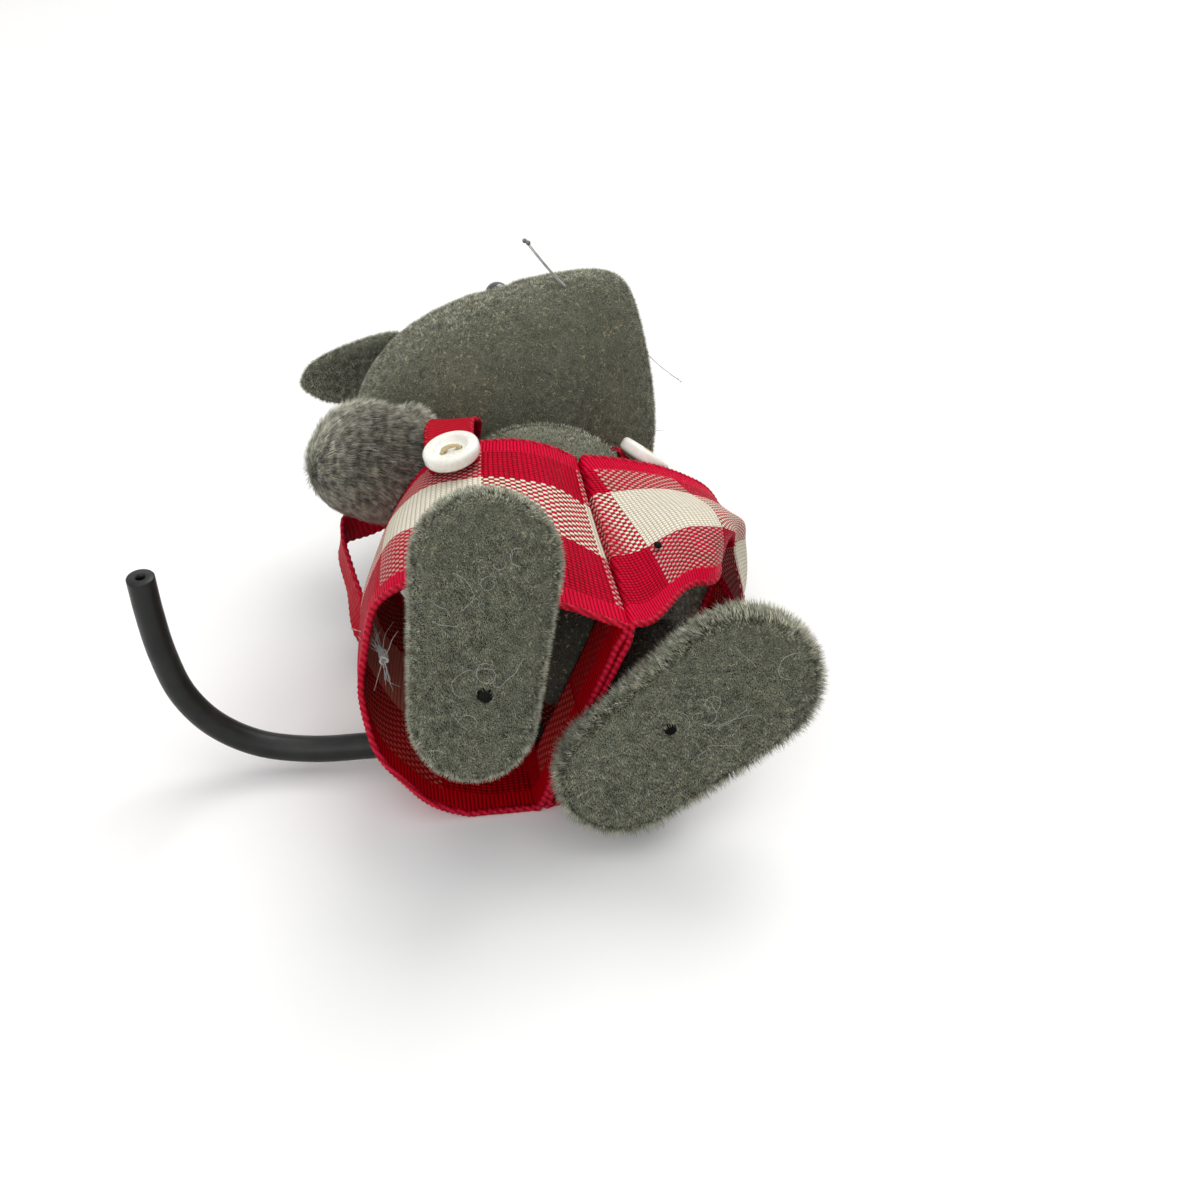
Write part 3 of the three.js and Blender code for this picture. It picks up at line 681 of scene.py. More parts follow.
@dataclass(frozen=True)
class FlockFibre:
    """The nylon fibres that stand on the flocked parts, dark at the root and light at the tip: painted shade
    among the fibres and painted sheen on their tips.
    """

    name: str = "flock_fibre"
    root: Colour = (0.150, 0.155, 0.112)
    tip: Colour = (0.45, 0.46, 0.37)
    lint: Colour = (0.48, 0.35, 0.15)
    shade_range: tuple[float, float] = (0.38, 1.52)
    patch: float = 0.8
    patch_range: tuple[float, float] = (0.42, 1.55)

    def make(self) -> Material:
        """Makes the material.

        Returns:
            The finished material.
        """
        g = Graph(self.name)
        at = g.coordinates()
        # dark roots are painted shade among the fibres, light tips are painted sheen
        colour = g.blend(g.math("POWER", g.attribute("tip"), 1.3), self.root, self.tip)
        colour = g.blend(g.lint(), colour, self.lint)
        shade = g.ranged(g.attribute("shade"), 0, 1, *self.shade_range)
        patches = g.ranged(g.noise(at, self.patch, 5), 0.36, 0.64, *self.patch_range)
        g.shade(
            Base_Color=g.blend(1.0, colour, g.grey(g.times(shade, patches)), "MULTIPLY"),
            Roughness=g.ranged(shade, 0.55, 1.35, 0.75, 0.5),
            Specular_IOR_Level=0.15,
        )
        g.bump(g.noise(at, 0.06, 1), 0.01, 0.3)
        return g.material


@dataclass(frozen=True)
class Gingham:
    """Woven ribbon, checked in red and white: thread crossings from the ribbon's own coordinates.

    The first texture coordinate runs along the ribbon from its front seam and the second across
    it from the waist edge, both in centimetres.
    """

    name: str = "gingham_ribbon"
    tint: Colour = (1.0, 1.0, 1.0)
    first_stripe: float = 0.0
    white_first: bool = True
    stripe: float = 11.0
    width: float = 27.0
    waist_band: float = 6.6
    hem_band: float = 10.0
    # the share of white kept on the inner wall: painted shade
    inner_white: float = 0.3
    weft_show: float = 0.45
    warp_pitch: float = 0.40
    weft_pitch: float = 0.56
    red: Colour = (0.52, 0.0020, 0.020)
    bright: Colour = (0.68, 0.003, 0.038)
    white: Colour = (0.88, 0.84, 0.70)
    bleached: Colour = (0.92, 0.90, 0.80)
    # colours of the painted shade in the hollows between threads
    red_hollow: Colour = (0.22, 0.10, 0.13)
    white_hollow: Colour = (0.60, 0.48, 0.34)
    edging: tuple[float, float] = (2.2, 2.7)
    edging_rib: float = 0.42
    drift: float = 0.12

    def make(self) -> Material:
        """Makes the material.

        Returns:
            The finished material.
        """
        g = Graph(self.name)
        at = g.coordinates()
        along, across = g.ribbon_place()
        across = g.plus(across, g.times(g.noise(at, 2.2, 2), self.drift))
        u, v = g.math("DIVIDE", along, self.weft_pitch), g.math("DIVIDE", across, self.warp_pitch)
        cell_u, cell_v = g.math("FLOOR", u), g.math("FLOOR", v)
        weft_up = g.math("MODULO", g.plus(cell_u, cell_v, 2000.0), 2.0)
        edge = g.math("MINIMUM", across, g.math("SUBTRACT", self.width, across))
        edging = g.ranged(edge, *self.edging, 1, 0)
        white = g.times(self.white_share(g, along, across, weft_up), g.other(edging))
        # the inner wall between the legs keeps less white: painted shade
        white = g.times(white, g.ranged(along, -3.0, -1.0, self.inner_white, 1.0))
        crown = g.swollen(g.times(g.crown(g.math("FRACT", u)), g.crown(g.math("FRACT", v))), 0.55)
        ribs = g.swollen(g.crown(g.math("FRACT", g.math("DIVIDE", along, self.edging_rib))), 0.6)
        height = g.plus(g.times(crown, g.other(edging)), g.times(ribs, edging))
        thread = self.thread_chance(g, weft_up, cell_u, cell_v)
        red = g.blend(edging, g.blend(thread, self.red, self.bright), self.bright)
        cream = g.blend(g.noise(at, 1.4, 3), self.white, self.bleached)
        # multiplying by the shade tint darkens the tubes' inside: painted shade and painted red bounce light
        colour = g.blend(1.0, g.blend(white, red, cream), self.tint, "MULTIPLY")
        # the hollows between threads darken towards these colours: painted shade
        hollow = g.blend(white, self.red_hollow, self.white_hollow)
        shadow = g.blend(g.ranged(height, 0.05, 0.75, 1, 0), (1.0, 1.0, 1.0), hollow)
        g.shade(
            Base_Color=g.blend(1.0, colour, shadow, "MULTIPLY"),
            Roughness=g.ranged(thread, 0, 1, 0.42, 0.6),
            Specular_IOR_Level=0.03,
        )
        g.bump(height, 0.13)
        return g.material

    def white_share(self, g: Graph, along: Socket, across: Socket, weft_up: Socket) -> Socket:
        """How much of a place is white thread, before the red edging.

        Args:
            g: the node graph.
            along: the place along the ribbon.
            across: the place across it.
            weft_up: 1 where the weft lies on top, 0 where the warp does.

        Returns:
            0 for a red thread to 1 for a white one.
        """
        start = g.plus(g.math("SUBTRACT", along, self.first_stripe), 20 * self.stripe)
        weft_white = g.math("LESS_THAN", g.math("MODULO", start, 2 * self.stripe), self.stripe)
        if not self.white_first:
            weft_white = g.other(weft_white)
        below_waist = g.math("GREATER_THAN", across, self.waist_band)
        warp_white = g.times(below_waist, g.math("LESS_THAN", across, self.width - self.hem_band))
        weft = g.times(weft_up, weft_white, g.ranged(warp_white, 0, 1, self.weft_show, 1))
        return g.plus(weft, g.times(g.other(weft_up), warp_white))

    def thread_chance(self, g: Graph, weft_up: Socket, cell_u: Socket, cell_v: Socket) -> Socket:
        """A chance number that each thread keeps along its whole length.

        Args:
            g: the node graph.
            weft_up: 1 where the weft lies on top, 0 where the warp does.
            cell_u: the weft thread's count along the ribbon.
            cell_v: the warp thread's count across it.

        Returns:
            A number from 0 to 1.
        """
        pair = g.tree.nodes.new("ShaderNodeCombineXYZ")
        g.put(pair, 0, g.times(weft_up, cell_u))
        g.put(pair, 1, g.times(g.other(weft_up), cell_v))
        chance = g.tree.nodes.new("ShaderNodeTexWhiteNoise")
        chance.noise_dimensions = "2D"
        g.put(chance, "Vector", pair.outputs[0])
        return chance.outputs[0]


@dataclass(frozen=True)
class RedRibbon:
    """Plain red grosgrain ribbon, ribbed across, from the same kind of coordinates; darker in the grooves
    between ribs, which is painted shade.
    """

    name: str = "red_ribbon"
    rib: float = 0.55
    red: Colour = (0.52, 0.003, 0.020)
    deep: Colour = (0.24, 0.001, 0.006)
    yarn: float = 0.24

    def make(self) -> Material:
        """Makes the material.

        Returns:
            The finished material.
        """
        g = Graph(self.name)
        along, across = g.ribbon_place()
        rib = g.swollen(g.crown(g.math("FRACT", g.math("DIVIDE", along, self.rib))), 0.6)
        yarn = g.swollen(g.crown(g.math("FRACT", g.math("DIVIDE", across, self.yarn))), 0.5)
        height = g.plus(g.times(rib, 0.7), g.times(yarn, 0.3))
        mottle = g.noise(g.coordinates(), 0.9, 3)
        # low between the ribs the red darkens to the groove shade: painted shade, with a random mottle
        tone = g.times(g.ranged(height, 0.1, 0.9, 0, 1), g.spread(mottle, 0.7, 1))
        g.shade(
            Base_Color=g.blend(tone, self.deep, self.red),
            Roughness=g.spread(mottle, 0.4, 0.6),
            Specular_IOR_Level=0.04,
        )
        g.bump(height, 0.1)
        return g.material


@dataclass(frozen=True)
class Thread:
    """Spun thread: a colour with fine slanting plies, darker between the plies, which is painted shade."""

    name: str
    colour: Colour
    deep: Colour
    pitch: float = 0.16
    clear: float = 0.0
    bands: float = 0.31

    def make(self) -> Material:
        """Makes the material.

        Returns:
            The finished material.
        """
        g = Graph(self.name)
        at = g.coordinates()
        wave = g.tree.nodes.new("ShaderNodeTexWave")
        wave.bands_direction = "DIAGONAL"
        g.put(wave, "Vector", at)
        wave.inputs["Scale"].default_value = self.bands / (self.pitch * MM)
        wave.inputs["Distortion"].default_value = 1.5
        ply = wave.outputs["Fac"]
        # between the plies the colour darkens to the groove shade: painted shade, with a random mottle
        tone = g.times(ply, g.spread(g.noise(at, 0.8, 2), 0.7, 1))
        g.shade(
            Base_Color=g.blend(tone, self.deep, self.colour),
            Roughness=g.ranged(ply, 0, 1, 0.6, 0.4),
            Transmission_Weight=self.clear,
            Specular_IOR_Level=0.1,
        )
        g.bump(ply, 0.04)
        return g.material


@dataclass(frozen=True)
class Rubber:
    """Moulded near-black rubber with a soft shine and a fine grain."""

    name: str = "tail_rubber"
    low: Colour = (0.006, 0.007, 0.006)
    high: Colour = (0.018, 0.020, 0.018)

    def make(self) -> Material:
        """Makes the material.

        Returns:
            The finished material.
        """
        g = Graph(self.name)
        at = g.coordinates()
        g.shade(
            Base_Color=g.blend(g.spread(g.noise(at, 4.0, 3)), self.low, self.high),
            Roughness=g.spread(g.noise(at, 0.9, 4), 0.3, 0.46),
            Specular_IOR_Level=0.22,
        )
        g.bump(g.noise(at, 0.12, 3), 0.02, 0.7)
        return g.material


@dataclass(frozen=True)
class Moulded:
    """A small moulded or turned piece: one colour with a faint mottle and a fine grain."""

    name: str
    low: Colour
    high: Colour
    rough: float = 0.3
    coat: float = 0.0
    pitch: float = 1.2
    glow: float = 0.0
    specular: float = 0.5

    def make(self) -> Material:
        """Makes the material.

        Returns:
            The finished material.
        """
        g = Graph(self.name)
        at = g.coordinates()
        g.shade(
            Base_Color=g.blend(g.spread(g.noise(at, self.pitch, 3)), self.low, self.high),
            Roughness=g.spread(g.noise(at, 0.4, 3), self.rough * 0.8, self.rough * 1.2),
            Specular_IOR_Level=self.specular,
            Coat_Weight=self.coat,
            Coat_Roughness=0.08,
            Subsurface_Weight=self.glow,
            Subsurface_Scale=0.6 * MM,
        )
        g.bump(g.noise(at, 0.1, 2), 0.01, 0.4)
        return g.material


class Finishes:
    """Every finish, made once."""

    def __init__(self) -> None:
        """Makes the materials."""
        self.skin = {
            Pile.SHORT: FlockSkin().make(),
            # the long pile's ground is darker than the open one: painted shade among the paws' long fibres
            Pile.LONG: FlockSkin("long_flock_ground", (0.045, 0.042, 0.034), (0.12, 0.115, 0.090)).make(),
            # the inner ground is a darker copy of the open one: painted shade inside the trousers
            Pile.INNER: FlockSkin("inner_flock_ground", (0.040, 0.040, 0.030), (0.10, 0.10, 0.078)).make(),
        }
        self.fibre = {
            Pile.SHORT: FlockFibre().make(),
            # the paws' fibres run from a darker root to a lighter tip: stronger painted shade and sheen
            Pile.LONG: FlockFibre("long_flock_fibre", (0.085, 0.080, 0.062), (0.56, 0.565, 0.475)).make(),
            # the inner fibres are a darker copy of the open ones: painted shade inside the trousers
            Pile.INNER: FlockFibre("inner_flock_fibre", (0.040, 0.037, 0.029), (0.13, 0.127, 0.105)).make(),
        }
        right = {"first_stripe": 0.9, "white_first": False, "stripe": 12.2, "waist_band": 8.4}
        self.gingham = {}
        # the inside of each tube gets a darker, redder copy of its ribbon: painted shade and painted red
        # bounce light
        for face, tint in (("face", (1.0, 1.0, 1.0)), ("lining", (0.74, 0.21, 0.19))):
            self.gingham[Side.LEFT, face] = Gingham(f"gingham_left_{face}", tint, first_stripe=0.6).make()
            self.gingham[Side.RIGHT, face] = Gingham(f"gingham_right_{face}", tint, **right).make()
        self.ribbon = RedRibbon().make()
        self.edging = Thread("ribbon_edging", (0.66, 0.008, 0.04), (0.26, 0.002, 0.010), 0.5).make()
        self.stitch = Thread("button_thread", (0.80, 0.68, 0.42), (0.46, 0.33, 0.16), 0.14).make()
        self.frayed = Thread("frayed_thread", (0.86, 0.85, 0.82), (0.60, 0.58, 0.54), 0.1, 0.35).make()
        self.dark_thread = Thread("dark_thread", (0.13, 0.12, 0.11), (0.05, 0.045, 0.04), 0.1).make()
        self.lint = Thread("lint_hair", (0.60, 0.60, 0.55), (0.40, 0.40, 0.36), 0.1).make()
        self.rubber = Rubber().make()
        self.button = Moulded(
            "button_shell", (0.82, 0.80, 0.72), (0.90, 0.89, 0.83),
            rough=0.28, coat=0.35, pitch=1.6, glow=0.15,
        ).make()
        self.bead = Moulded("black_bead", (0.006, 0.006, 0.007), (0.016, 0.015, 0.016), 0.12, 0.6).make()
        self.peg = Moulded(
            "dark_peg", (0.004, 0.004, 0.004), (0.012, 0.011, 0.010), 0.6, specular=0.06
        ).make()
        self.bristle = Thread("whisker_bristle", (0.62, 0.63, 0.60), (0.42, 0.42, 0.40), 0.2, 0.3).make()
        self.ball = Moulded("whisker_ball", (0.10, 0.10, 0.095), (0.17, 0.17, 0.16), 0.35, 0.2).make()
        self.pale = Thread("pale_bristle", (0.97, 0.97, 0.95), (0.90, 0.90, 0.87), 0.2, 0.6).make()


# Flocked parts


@dataclass
class Obstacles:
    """What fibres must stop short of."""

    trees: list[tuple[str, BVHTree]] = field(default_factory=list)

    def add(self, piece: Piece) -> None:
        """Takes in a piece's mesh, its modifiers included."""
        graph = bpy.context.evaluated_depsgraph_get()
        self.trees.append((piece.name, BVHTree.FromObject(piece, graph)))

    def free_length(self, own: str, root: Vector, way: Vector, reach: float) -> float:
        """How far a fibre can grow before it meets another piece.

        Args:
            own: the name of the piece that the fibre stands on.
            root: where it stands, in metres.
            way: its direction.
            reach: its full length.

        Returns:
            The free length, reach at most.
        """
        for name, tree in self.trees:
            if name != own:
                hit = tree.ray_cast(root, way, reach)
                if hit[0] is not None:
                    reach = min(reach, hit[3])
        return reach


@dataclass
class FlockedPart:
    """A part covered with electrostatic flock: a felted core and fibres standing on it."""

    node: str
    body: str
    fibres: int
    batches: int = 1
    length: float = 0.8
    width: float = 0.075
    lean: float = 0.45
    comb: float = 0.3
    grain: float = 0.34
    smoothing: int = 14
    seed: int = 1
    stand: float = 0.35
    pile: Pile = Pile.SHORT
    rim: float = 0.0
    swell: float = 0.0
    pin: str = ""
    # below this height in the body frame the faces take the inner material, painted shade under the trousers
    waist: float | None = None
    beads: tuple[str, ...] = ()
    core: Piece | None = None

    rim_turn = (0.35, 0.95)  # how far a surface turns off the broad faces to count as the rim
    off_table = (1.5, 6)  # the swelling starts and is whole this far above the table
    root_depth = 0.06  # how deep the fibres stand in the core
    spread = (0.6, 1.15)  # the shortest and the longest fibre, as shares of the length
    stub = 0.22  # a fibre shorter than this share is left out
    crowded = 0.85  # the share of the free length that a crowded fibre takes
    wave = 5.5  # how far apart the combing changes, in millimetres
    bare_pin = (0.65, 0.5)  # how far roots and tips stay off the pin's middle
    bare_bead = (0.9, 0.5)  # how far roots and tips stay off a bead
    well = (0.7, 2.5)  # how deep the pin's head sits, and how deep the sole is pressed in
    well_rim = (0.55, 0.85)  # where the well's wall starts and ends

    def build(self, frame: dict, finishes: Finishes) -> None:
        """Makes the core from the node's solid, its facets smoothed away.

        Args:
            frame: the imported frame.
            finishes: the materials.
        """
        mesh = frame["nodes"][self.node].data.copy()
        mesh.materials.clear()
        self.core = new_object(f"{self.node}_core", mesh)
        remesh = self.core.modifiers.new("even", "REMESH")
        remesh.mode = "VOXEL"
        remesh.voxel_size = self.grain * MM
        soften = self.core.modifiers.new("soften", "SMOOTH")
        soften.factor, soften.iterations = 0.5, self.smoothing
        settled(self.core)
        if self.swell:
            self.swell_rim()
        if self.pin:
            self.sink_round_pin()
        self.finish(self.core, finishes.skin)
        self.core.data.shade_smooth()
        fitted(self.core, None, self.body, self.node)

    def finish(self, piece: Piece, kinds: dict[Pile, Material]) -> None:
        """Gives a piece its pile's material, and the darker inner one, painted shade, to its faces inside
        the trousers.

        Args:
            piece: the core or a tuft of its fibres.
            kinds: the materials by pile.
        """
        piece.data.materials.append(kinds[self.pile])
        if self.waist is not None:
            piece.data.materials.append(kinds[Pile.INNER])
            middles = np.zeros(len(piece.data.polygons) * 3)
            piece.data.polygons.foreach_get("center", middles)
            height = moved(middles.reshape(-1, 3) / MM, BODY.inverted())[:, 1]
            piece.data.polygons.foreach_set("material_index", (height < self.waist).astype(np.int32))

    def surface(self) -> tuple[np.ndarray, np.ndarray]:
        """The core's points and its directions there, in metres.

        Returns:
            The points and the directions, as rows.
        """
        mesh = self.core.data
        points, normals = np.zeros((2, len(mesh.vertices) * 3))
        mesh.vertices.foreach_get("co", points)
        mesh.vertices.foreach_get("normal", normals)
        return points.reshape(-1, 3), normals.reshape(-1, 3)

    def reshape(self, points: np.ndarray) -> None:
        """Gives the core's points new places."""
        self.core.data.vertices.foreach_set("co", points.reshape(-1))
        self.core.data.update()

    def swell_rim(self) -> None:
        """Fills the part out round its rim, except where it lies on the table."""
        points, normals = self.surface()
        low, high = self.off_table
        grown = self.swell * MM * self.rimward(normals) * eased(points[:, 2], low * MM, high * MM)
        self.reshape(points + normals * grown[:, None])

    def pin_axis(self) -> tuple[np.ndarray, np.ndarray, float]:
        """The pin's middle, its way out of the sole, and how far its head is from the middle.

        Returns:
            The middle and the way out as x, y, z, and the distance, in metres.
        """
        points = points_of(bpy.data.objects[self.pin])
        middle, way = long_axis(points)
        if way @ np.array(BODY.col[1].xyz) > 0:
            way = -way
        return middle, way, float(((points - middle) @ way).max())

    def sink_round_pin(self) -> None:
        """Presses the sole in round its pin, so that the pin's head shows at the bottom of a small well."""
        middle, way, head = self.pin_axis()
        depth, pressed = self.well
        wall_start, wall_end = self.well_rim
        points, _ = self.surface()
        along = (points - middle) @ way
        aside = np.linalg.norm(points - middle - along[:, None] * way, axis=1)
        over = np.maximum(0, along - (head - depth * MM)) * (along > head - pressed * MM)
        inside = 1 - eased(aside, wall_start * MM, wall_end * MM)
        self.reshape(points - way * (over * inside)[:, None])

    def roots(self, rng: np.random.Generator) -> tuple[np.ndarray, np.ndarray]:
        """Even random places on the core.

        Args:
            rng: the seeded source of chance.

        Returns:
            The places and the surface's directions there, in metres.
        """
        mesh = self.core.data
        mesh.calc_loop_triangles()
        points, normals = self.surface()
        corners = np.zeros(len(mesh.loop_triangles) * 3, int)
        mesh.loop_triangles.foreach_get("vertices", corners)
        corners = corners.reshape(-1, 3)
        a, b, c = (points[corners[:, k]] for k in range(3))
        area = np.linalg.norm(np.cross(b - a, c - a), axis=1)
        chosen = rng.choice(len(corners), self.fibres, p=area / area.sum())
        weights = rng.dirichlet((1, 1, 1), self.fibres)
        places = sum(points[corners[chosen, k]] * weights[:, k : k + 1] for k in range(3))
        out = sum(normals[corners[chosen, k]] * weights[:, k : k + 1] for k in range(3))
        return places, unit(out)

    def plant(self, obstacles: Obstacles, finishes: Finishes) -> None:
        """Stands the fibres on the core, each short of its neighbours.

        Args:
            obstacles: the pieces that the fibres stop short of.
            finishes: the materials.
        """
        rng = np.random.default_rng(self.seed)
        places, out = self.roots(rng)
        rim = self.rimward(out)
        waves = rng.normal(size=(6, 3)) / (self.wave * MM)
        turns = rng.normal(size=(6, 3))
        combed = np.sin(places @ waves.T + rng.uniform(0, 6.3, 6)) @ turns * 0.5
        way = out + self.comb * combed + self.lean * rng.normal(size=places.shape) * 0.5
        way += out * np.maximum(0, self.stand - (way * out).sum(1))[:, None]
        way = unit(way)
        reach = (self.length + self.rim * rim) * MM * rng.uniform(*self.spread, self.fibres)
        fall = np.maximum(-way[:, 2], 1e-3)
        reach = np.minimum(reach, np.maximum(places[:, 2], 0) / fall)
        free = np.array([
            obstacles.free_length(self.core.name, Vector(p + 0.05 * MM * n), Vector(w), full)
            for p, n, w, full in zip(places, out, way, reach)
        ])
        reach = np.where(free < reach, free * self.crowded, reach)
        kept = reach > self.stub * self.length * MM
        for k, ends in enumerate((places, places + way * reach[:, None])):
            kept &= self.off_pin(ends, self.bare_pin[k]) & self.off_beads(ends, self.bare_bead[k])
        # fibres round the rim are made lighter: painted rim light
        shade = (rng.uniform(0, 1, self.fibres) + 0.15 * rim)[kept]
        places, way, reach = places[kept], way[kept], reach[kept]
        for k, batch in enumerate(np.array_split(np.arange(len(places)), self.batches)):
            name = f"{self.node}_flock" if self.batches == 1 else f"{self.node}_flock_{k + 1}"
            tuft = self.tuft(name, places[batch], way[batch], reach[batch], shade[batch])
            self.finish(tuft, finishes.fibre)
            fitted(tuft, None, self.body)

    def rimward(self, out: np.ndarray) -> np.ndarray:
        """From 0 on the part's broad faces to 1 round its rim.

        Args:
            out: the surface's directions.

        Returns:
            One number for each direction.
        """
        points, _ = self.surface()
        thin = np.linalg.svd(points - points.mean(0), full_matrices=False)[2][2]
        return 1 - eased(np.abs(out @ thin), *self.rim_turn)

    def off_pin(self, places: np.ndarray, clear: float) -> np.ndarray:
        """Which places are clear of the head of the part's pin.

        Args:
            places: points in metres.
            clear: the bare spot's radius in millimetres.

        Returns:
            True for each place that is clear.
        """
        if not self.pin:
            return np.ones(len(places), bool)
        middle, way, _ = self.pin_axis()
        aside = (places - middle) - ((places - middle) @ way)[:, None] * way
        return np.linalg.norm(aside, axis=1) > clear * MM

    def off_beads(self, places: np.ndarray, clear: float) -> np.ndarray:
        """Which places are clear of the part's beads.

        Args:
            places: points in metres.
            clear: the bare ring's width in millimetres.

        Returns:
            True for each place that is clear.
        """
        kept = np.ones(len(places), bool)
        for bead in self.beads:
            points = points_of(bpy.data.objects[bead])
            radius = np.linalg.norm(points - points.mean(0), axis=1).max()
            kept &= np.linalg.norm(places - points.mean(0), axis=1) > radius + clear * MM
        return kept

    def tuft(
        self, name: str, places: np.ndarray, way: np.ndarray, reach: np.ndarray, shade: np.ndarray
    ) -> Piece:
        """One mesh of fibres, each a thin closed cone.

        Args:
            name: the piece's name.
            places: the fibres' roots.
            way: their directions.
            reach: their lengths.
            shade: a number from 0 to 1 for each.

        Returns:
            The object.
        """
        cone = bmesh.new()
        bmesh.ops.create_cone(cone, cap_ends=True, segments=3, radius1=0.5, radius2=0, depth=1)
        bmesh.ops.remove_doubles(cone, verts=cone.verts, dist=1e-4)
        bmesh.ops.translate(cone, vec=(0, 0, 0.5), verts=cone.verts)
        bmesh.ops.triangulate(cone, faces=cone.faces)
        cone.verts.ensure_lookup_table()
        model = np.array([vert.co for vert in cone.verts])
        faces = np.array([[vert.index for vert in face.verts] for face in cone.faces])
        cone.free()
        side = unit(np.cross(way, np.array((0.37, 0.61, 0.70))))
        other = np.cross(way, side)
        width = self.width * MM * (0.7 + 0.6 * shade)[:, None, None]
        at = places - way * self.root_depth * MM
        points = (
            at[:, None]
            + width * (side[:, None] * model[None, :, :1] + other[:, None] * model[None, :, 1:2])
            + (way * reach[:, None])[:, None] * model[None, :, 2:]
        )
        count, size = len(at), len(model)
        corners = (faces[None] + size * np.arange(count)[:, None, None]).reshape(-1)
        mesh = bpy.data.meshes.new(name)
        mesh.vertices.add(count * size)
        mesh.vertices.foreach_set("co", points.reshape(-1))
        mesh.loops.add(len(corners))
        mesh.loops.foreach_set("vertex_index", corners)
        mesh.polygons.add(len(corners) // 3)
        mesh.polygons.foreach_set("loop_start", np.arange(0, len(corners), 3))
        for label, values in (("tip", np.tile(model[:, 2], count)), ("shade", np.repeat(shade, size))):
            mesh.attributes.new(label, "FLOAT", "POINT").data.foreach_set("value", values.astype(np.float32))
        mesh.update(calc_edges=True)
        return new_object(name, mesh)


# Ribbon parts


@dataclass(frozen=True)
class Drape:
    """How the cloth's main fold stands off the plain tube.

    Lengths are in millimetres and share is a share of the height. A pair is where a fold starts
    and ends: to the side for x, to the belly for z, and from hem to waist for the rest.
    """

    share: float = 0.38
    bulge: float = 2.6
    rise: float = 2.4
    drop: float = 2.2
    corner_drop: float = 3.6
    hem_rise: float = 3.5
    corner_rise: float = 8.0
    corner_in: float = 2.6
    outer_fullness: float = 1.9
    right_fullness: float = 0.8
    front_x: tuple[float, float] = (1, 9)
    front_z: tuple[float, float] = (-2, 8)
    corner_x: tuple[float, float] = (9, 21)
    wall_x: tuple[float, float] = (12, 20)
    corner_ends: tuple[float, float] = (0.38, 0.62)
    rise_ends: tuple[float, float] = (0.4, 0.9)
    bulge_ends: tuple[float, float] = (0.4, 1.05)

    def moves(self, side: Side, points: np.ndarray, v: np.ndarray) -> np.ndarray:
        """How far each point of a tube is moved.

        Args:
            side: which tube it is.
            points: the plain tube's points in the body frame.
            v: 0 at the hem to 1 at the waist.

        Returns:
            The moves, as rows.
        """
        x, z = points[:, 0], points[:, 2]
        nothing = np.zeros_like(v)
        if side is Side.RIGHT:
            swell = eased(-x, 1, 6) * eased(z, 0, 8) * (1 - eased(v, 0.5, 1)) * eased(v, 0, 0.3)
            return np.stack([nothing, nothing, self.right_fullness * swell], 1)
        front, corner = eased(x, *self.front_x) * eased(z, *self.front_z), eased(x, *self.corner_x)
        below = np.clip((self.share - v) / self.share, 0, 1)
        inward = self.corner_in * corner * (1 - eased(v, *self.corner_ends))
        wall = eased(x, *self.wall_x) * eased(z, -8, 0) * (1 - eased(z, 2, 8))
        rise = self.rise * (1 - eased(v, *self.rise_ends))
        bulge = self.bulge * (1 - eased(v, *self.bulge_ends))
        return np.stack([
            self.outer_fullness * wall * (1 - eased(v, 0.6, 1)) - front * inward,
            front * (below * (self.hem_rise + self.corner_rise * corner) + rise),
            front * (bulge - below**1.2 * (self.drop + self.corner_drop * corner)),
        ], 1)


@dataclass(frozen=True)
class CordedEdge:
    """A cord along a ribbon's edge, whose thickness swells at even steps: lengths in millimetres."""

    step: float
    pitch: float
    radius: float
    swell: float
    sides: int = 6

    def cord(self, line: np.ndarray, length: float) -> tuple[np.ndarray, np.ndarray]:
        """The cord's course and thickness.

        Args:
            line: the edge's course.
            length: the length that sets how many points the cord has.

        Returns:
            Even points along the edge, and the cord's radius at each.
        """
        line = evenly(line, int(length / self.step))
        turns = np.linspace(0, length_of(line) / self.pitch, len(line))
        return line, self.radius + self.swell * np.abs(np.sin(math.pi * turns))


WIRED_EDGE = CordedEdge(step=0.14, pitch=0.56, radius=0.27, swell=0.13)
PICOT_EDGE = CordedEdge(step=0.16, pitch=0.8, radius=0.16, swell=0.15)


